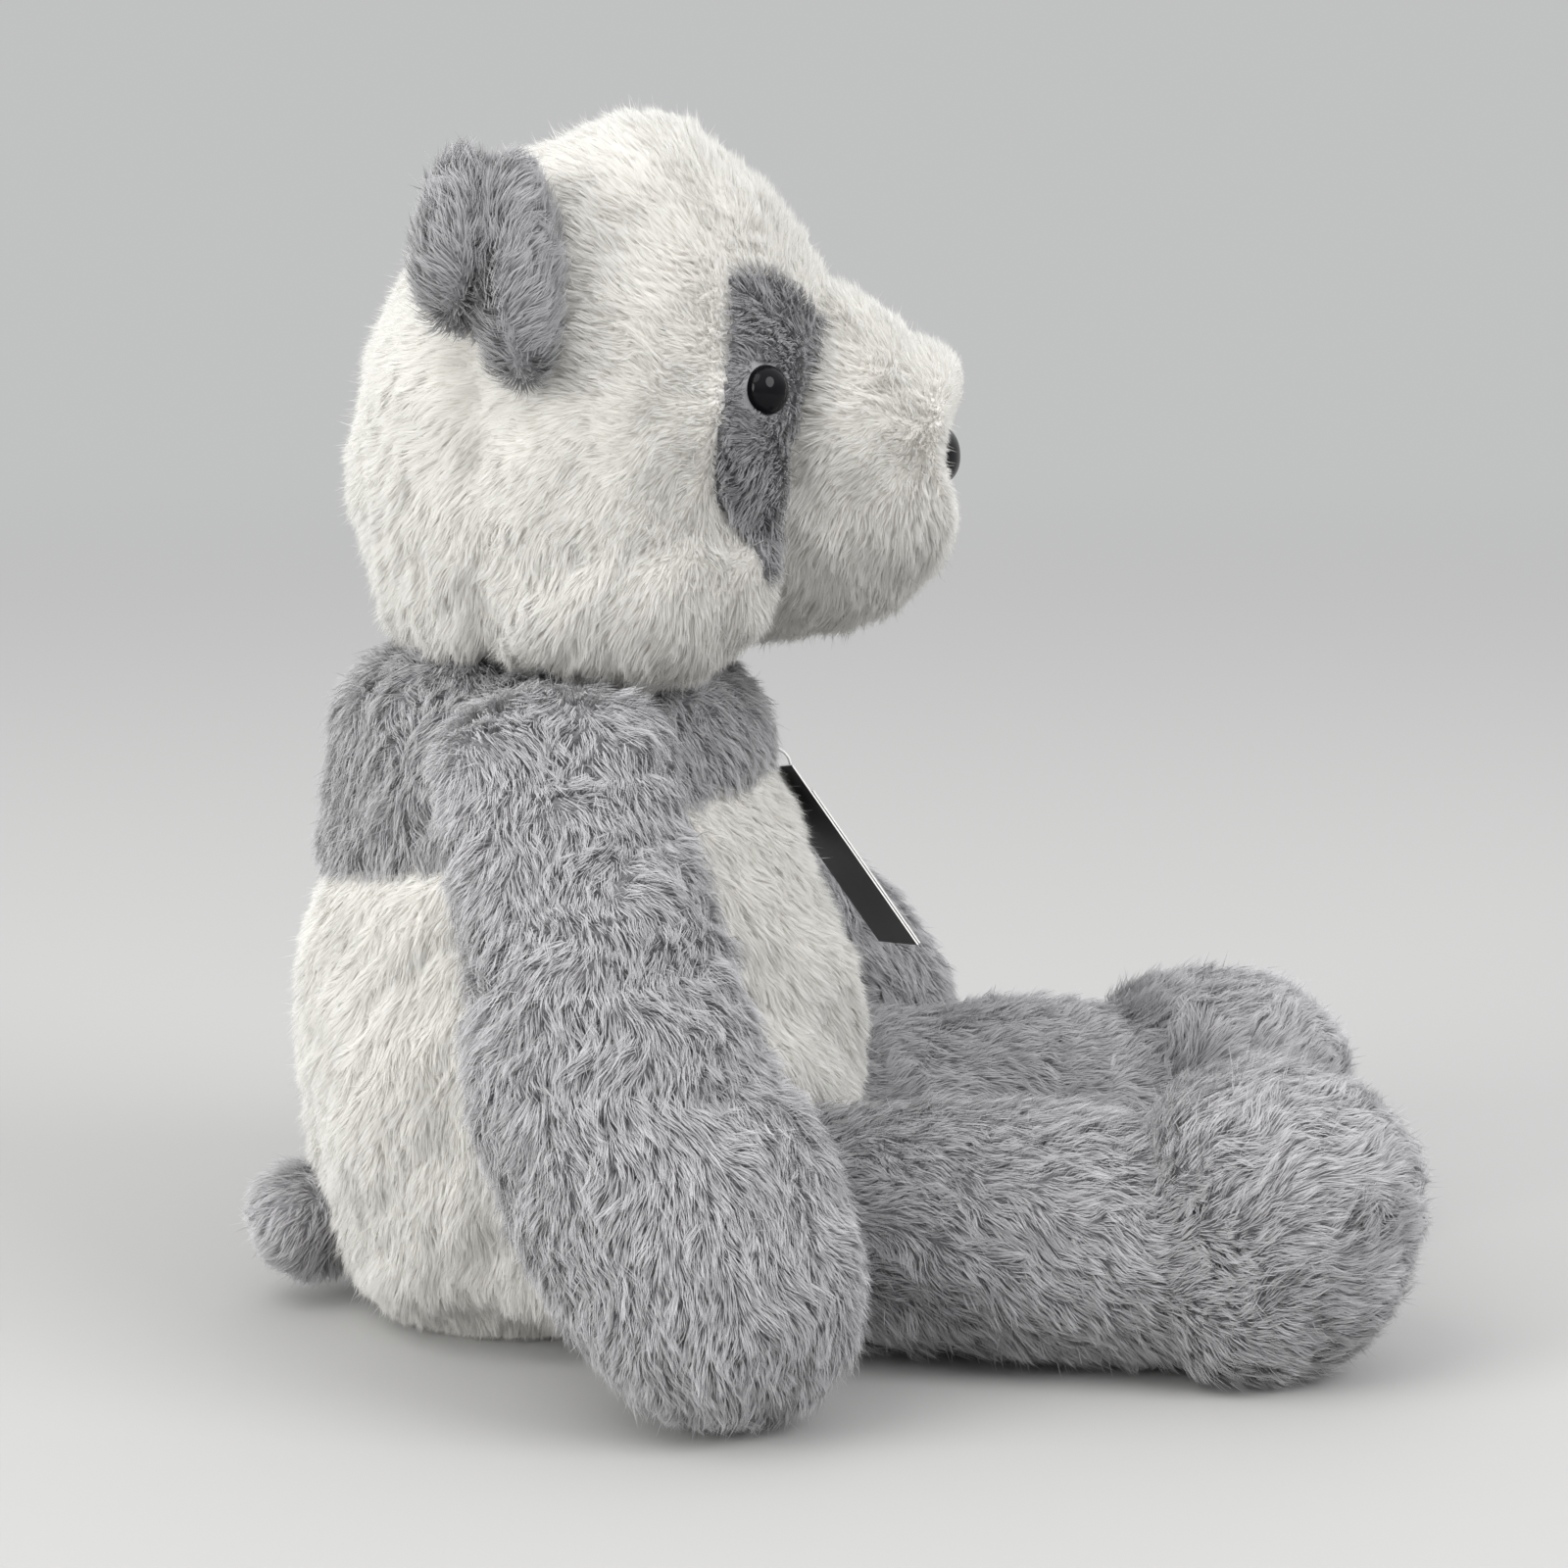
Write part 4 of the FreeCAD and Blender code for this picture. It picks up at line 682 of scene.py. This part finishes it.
pile("head_pile_front", "head", head, cream_pile, "cream_pile",
     lambda p: (p[:, 1] < -8) & ~is_patch(p) & clear_face(p) & not_neck(p), head_len(5.5), head_flow,
     lean=57, seed=24, **short)
pile("patch_pile", "head", head, patch_pile, "grey_pile", lambda p: is_patch(p) & clear_face(p), head_len(6.2), head_flow,
     density=3.4, width=0.27, clump=1.4, seed=25)


def arm_flow_r(p, n):
    return np.tile([0.0, -0.12, -1.0], (len(p), 1))


def arm_flow_l(p, n):
    return np.tile([0.0, -0.38, -0.92], (len(p), 1))


arm_len = lambda p, n: 7.0 * under(p, n)
for word, sk, fl, sd in (("right", arm_r, arm_flow_r, 26), ("left", arm_l, arm_flow_l, 27)):
    for part, wh, dd in (("upper", lambda p: p[:, 2] >= 80, 0), ("lower", lambda p: p[:, 2] < 80, 20)):
        pile("arm_pile_%s_%s" % (part, word), "arm_" + word, sk, grey_pile, "grey_pile", wh, arm_len, fl, density=3.5,
             lean=56, seed=sd + dd)


def leg_tools(sx):
    rot = turn((0, 0, 1), sx * SPLAY)
    hip = HIP * np.array([-sx, 1, 1])

    def local(p):
        return (p - hip) @ rot

    def flow(p, n):
        q = local(p)
        on_foot = smoothstep(-84, -100, q[:, 1])[:, None]
        along = np.stack([0 * q[:, 0], np.full(len(q), -1.0), -0.35 - 0.5 * smoothstep(10, -15, q[:, 2])], 1)
        away = q - np.array([0, -66, -12.0])
        away[:, 0] *= 0.3
        return (along * (1 - on_foot) + unit(away) * on_foot) @ rot.T

    def length(p, n):
        q = local(p)
        a = np.abs(-(q[:, 1] + 92) + 0.12 * q[:, 2])
        return 7.0 * under(p, n) * (0.82 + 0.18 * smoothstep(0, 6, a))

    def thigh(p):
        y = local(p)[:, 1]
        return smoothstep(21, 12, y) * (y > -80) * on_seat(p)

    def foot(p):
        return (local(p)[:, 1] <= -80) * on_seat(p)
    return flow, length, thigh, foot


for word, sx, sk, sd in (("right", -1, leg_r, 28), ("left", 1, leg_l, 29)):
    fl, le, thigh, foot = leg_tools(sx)
    pile("leg_pile_" + word, "leg_" + word, sk, grey_pile, "grey_pile", thigh, le, fl, density=3.2, lean=56, seed=sd)
    pile("foot_pile_" + word, "leg_" + word, sk, grey_pile, "grey_pile", foot, le, fl, density=3.4, seed=sd + 20)


def ear_flow(side):
    mir = np.array([-side, 1, 1])

    def f(p, n):
        q = p * mir
        t = np.tanh((q[:, 1] - EAR_CREASE - 0.06 * (q[:, 2] - 255)) / 2.5)[:, None]
        return (YL * t * 0.45 + ZL * 0.8 + NH * 0.30) * mir
    return f


for word, sx, sk, sd in (("right", -1, ear_r, 30), ("left", 1, ear_l, 31)):
    pile("ear_pile_" + word, "ear_" + word, sk, ear_pile, "grey_pile", lambda p: np.ones(len(p)), lambda p, n: np.full(len(p), 6.4),
         ear_flow(sx), density=3.3, width=0.28, lean=48, clump=1.5, seed=sd, floor=False)
pile("tail_pile", "tail", tail, grey_pile, "grey_pile", lambda p: np.ones(len(p)), lambda p, n: np.full(len(p), 6.8) * under(p, n),
     lambda p, n: np.tile([0, 0.8, -0.6], (len(p), 1)), density=3.0, seed=32)

# ------------------------------------------------------------------ eyes and nose


def dome(name, centre, normal, up, ra, rb, high, mat, body, node, power=2.0):
    n = unit(normal)
    u = unit(np.array(up) - n * np.dot(up, n))
    w = np.cross(u, n)
    a = np.linspace(0, math.pi / 2, 22)
    prof = [(0.93, -1.6)] + [(math.cos(t) ** 0.9, high * math.sin(t)) for t in a]
    prof = np.array(prof)
    prof[:, 0] = np.maximum(prof[:, 0], 0.004)
    c = np.array(centre) + n * prof[:, 1][:, None]
    v, f = tube(c, w, u, ra * prof[:, 0], rb * prof[:, 0], power, seg=72)
    me = bpy.data.meshes.new(name)
    me.from_pydata((v * MM).tolist(), [], f)
    me.materials.append(mat)
    me.polygons.foreach_set("use_smooth", np.ones(len(f), bool))
    me.update()
    ob = bpy.data.objects.new(name, me)
    bpy.context.scene.collection.objects.link(ob)
    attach(ob, body)
    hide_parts(node)
    return ob


for word, sx in (("right", -1), ("left", 1)):
    dome("eye_dome_" + word, EYE[sx] + EYE_N[sx] * 0.8, EYE_N[sx], (0, 0, 1), 5.7, 5.7, 4.3, black, "head", "eye_" + word)
dome("nose_dome", NOSE + np.array([0, -0.3, 0]), (0, -1, 0.05), (0, 0, 1), 9.0, 7.2, 5.6, nose_black, "head", "nose", 2.3)

# ------------------------------------------------------------------ swing tag and its loop: the solids, with dark faces and pale cut edges
for n in ("tag_front_leaf", "tag_rear_leaf"):
    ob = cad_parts[n]
    me = ob.data
    me.materials.clear()
    me.materials.append(card_dark)
    me.materials.append(card_edge)
    zt = unit([0, 0.5690, 0.8223])
    w = np.array([math.cos(math.radians(20)), math.sin(math.radians(20)), 0])
    w = unit(w - zt * np.dot(w, zt))
    back = np.cross(zt, w)
    for poly in me.polygons:
        poly.material_index = 0 if abs(np.dot(np.array(poly.normal), back)) > 0.7 else 1
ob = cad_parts["tag_fastener"]
ob.data.materials.clear()
ob.data.materials.append(clear)

# joint threads, dyed to go with the cloth round them
thread_grey = plain("joint_thread_grey", (0.27, 0.267, 0.275), 0.8)
for n in ("hip_seam_right", "hip_seam_left", "shoulder_seam_right", "shoulder_seam_left", "neck_seam_thread", "neck_gather_thread"):
    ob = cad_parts[n]
    ob.data.materials.clear()
    ob.data.materials.append(thread_grey)

# ------------------------------------------------------------------ floor, light and camera
scene = bpy.context.scene
me = bpy.data.meshes.new("floor")
me.from_pydata([(-30, -30, 0), (30, -30, 0), (30, 30, 0), (-30, 30, 0)], [], [(0, 1, 2, 3)])
floor_ob = bpy.data.objects.new("floor", me)
fm = plain("floor_paint", (0.37, 0.368, 0.362), 0.8)
me.materials.append(fm)
scene.collection.objects.link(floor_ob)
world = bpy.data.worlds.new("studio")
scene.world = world
world.use_nodes = True
bg = world.node_tree.nodes["Background"]
wn = world.node_tree
co = wn.nodes.new("ShaderNodeTexCoord")
sx = wn.nodes.new("ShaderNodeSeparateXYZ")
wn.links.new(co.outputs["Generated"], sx.inputs[0])
HAZE = (0.53, 0.535, 0.535)
sky = ramp(wn, [(0.0, HAZE), (0.12, HAZE), (0.45, (1.0, 1.01, 1.03)), (1.0, (1.3, 1.3, 1.32))], sx.outputs[2])
wn.links.new(sky, bg.inputs[0])
bg.inputs[1].default_value = 1.0
# the floor fades into the haze far behind the toy
ft = fm.node_tree
geo = ft.nodes.new("ShaderNodeNewGeometry")
ln = ft.nodes.new("ShaderNodeVectorMath")
ln.operation = "LENGTH"
ft.links.new(geo.outputs["Position"], ln.inputs[0])
fr = ft.nodes.new("ShaderNodeMapRange")
fr.interpolation_type = "SMOOTHSTEP"
fr.inputs["From Min"].default_value = 0.7
fr.inputs["From Max"].default_value = 3.2
ft.links.new(ln.outputs["Value"], fr.inputs["Value"])
em = ft.nodes.new("ShaderNodeEmission")
em.inputs[0].default_value = (*HAZE, 1)
mx = ft.nodes.new("ShaderNodeMixShader")
ft.links.new(fr.outputs[0], mx.inputs[0])
ft.links.new(ft.nodes["Principled BSDF"].outputs[0], mx.inputs[1])
ft.links.new(em.outputs[0], mx.inputs[2])
ft.links.new(mx.outputs[0], ft.nodes["Material Output"].inputs[0])


def area(name, loc, target, size, power, color=(1, 1, 1)):
    li = bpy.data.lights.new(name, "AREA")
    li.shape = "DISK"
    li.size = size
    li.energy = power
    li.color = color
    ob = bpy.data.objects.new(name, li)
    scene.collection.objects.link(ob)
    ob.location = loc
    ob.rotation_euler = (Vector(target) - Vector(loc)).to_track_quat("-Z", "Y").to_euler()
    ob.visible_camera = False
    return ob


area("key", (-0.9, 0.9, 2.0), (0, -0.03, 0.15), 1.6, 18, (1.0, 0.99, 0.97))
area("window", (-1.1, 1.65, 0.62), (0, 0.0, 0.03), 1.3, 38, (1.0, 1.0, 0.99))
area("fill", (-1.1, -1.55, 1.35), (0, -0.06, 0.16), 1.4, 38, (0.99, 0.99, 1.0))

cam_data = bpy.data.cameras.new("camera")
cam_data.sensor_width = 36
cam_data.lens = 83.25
cam_data.clip_end = 100
cam = bpy.data.objects.new("camera", cam_data)
scene.collection.objects.link(cam)
pitch = 0.152
fwd = Vector((math.cos(pitch), 0, -math.sin(pitch)))
right = Vector((0, -1, 0))
up = right.cross(fwd)
cam.matrix_world = Matrix(((right.x, up.x, -fwd.x, -0.8676), (right.y, up.y, -fwd.y, -0.0485), (right.z, up.z, -fwd.z, 0.2614),
                           (0, 0, 0, 1)))
scene.camera = cam
scene.view_settings.view_transform = "Standard"
scene.view_settings.look = "None"
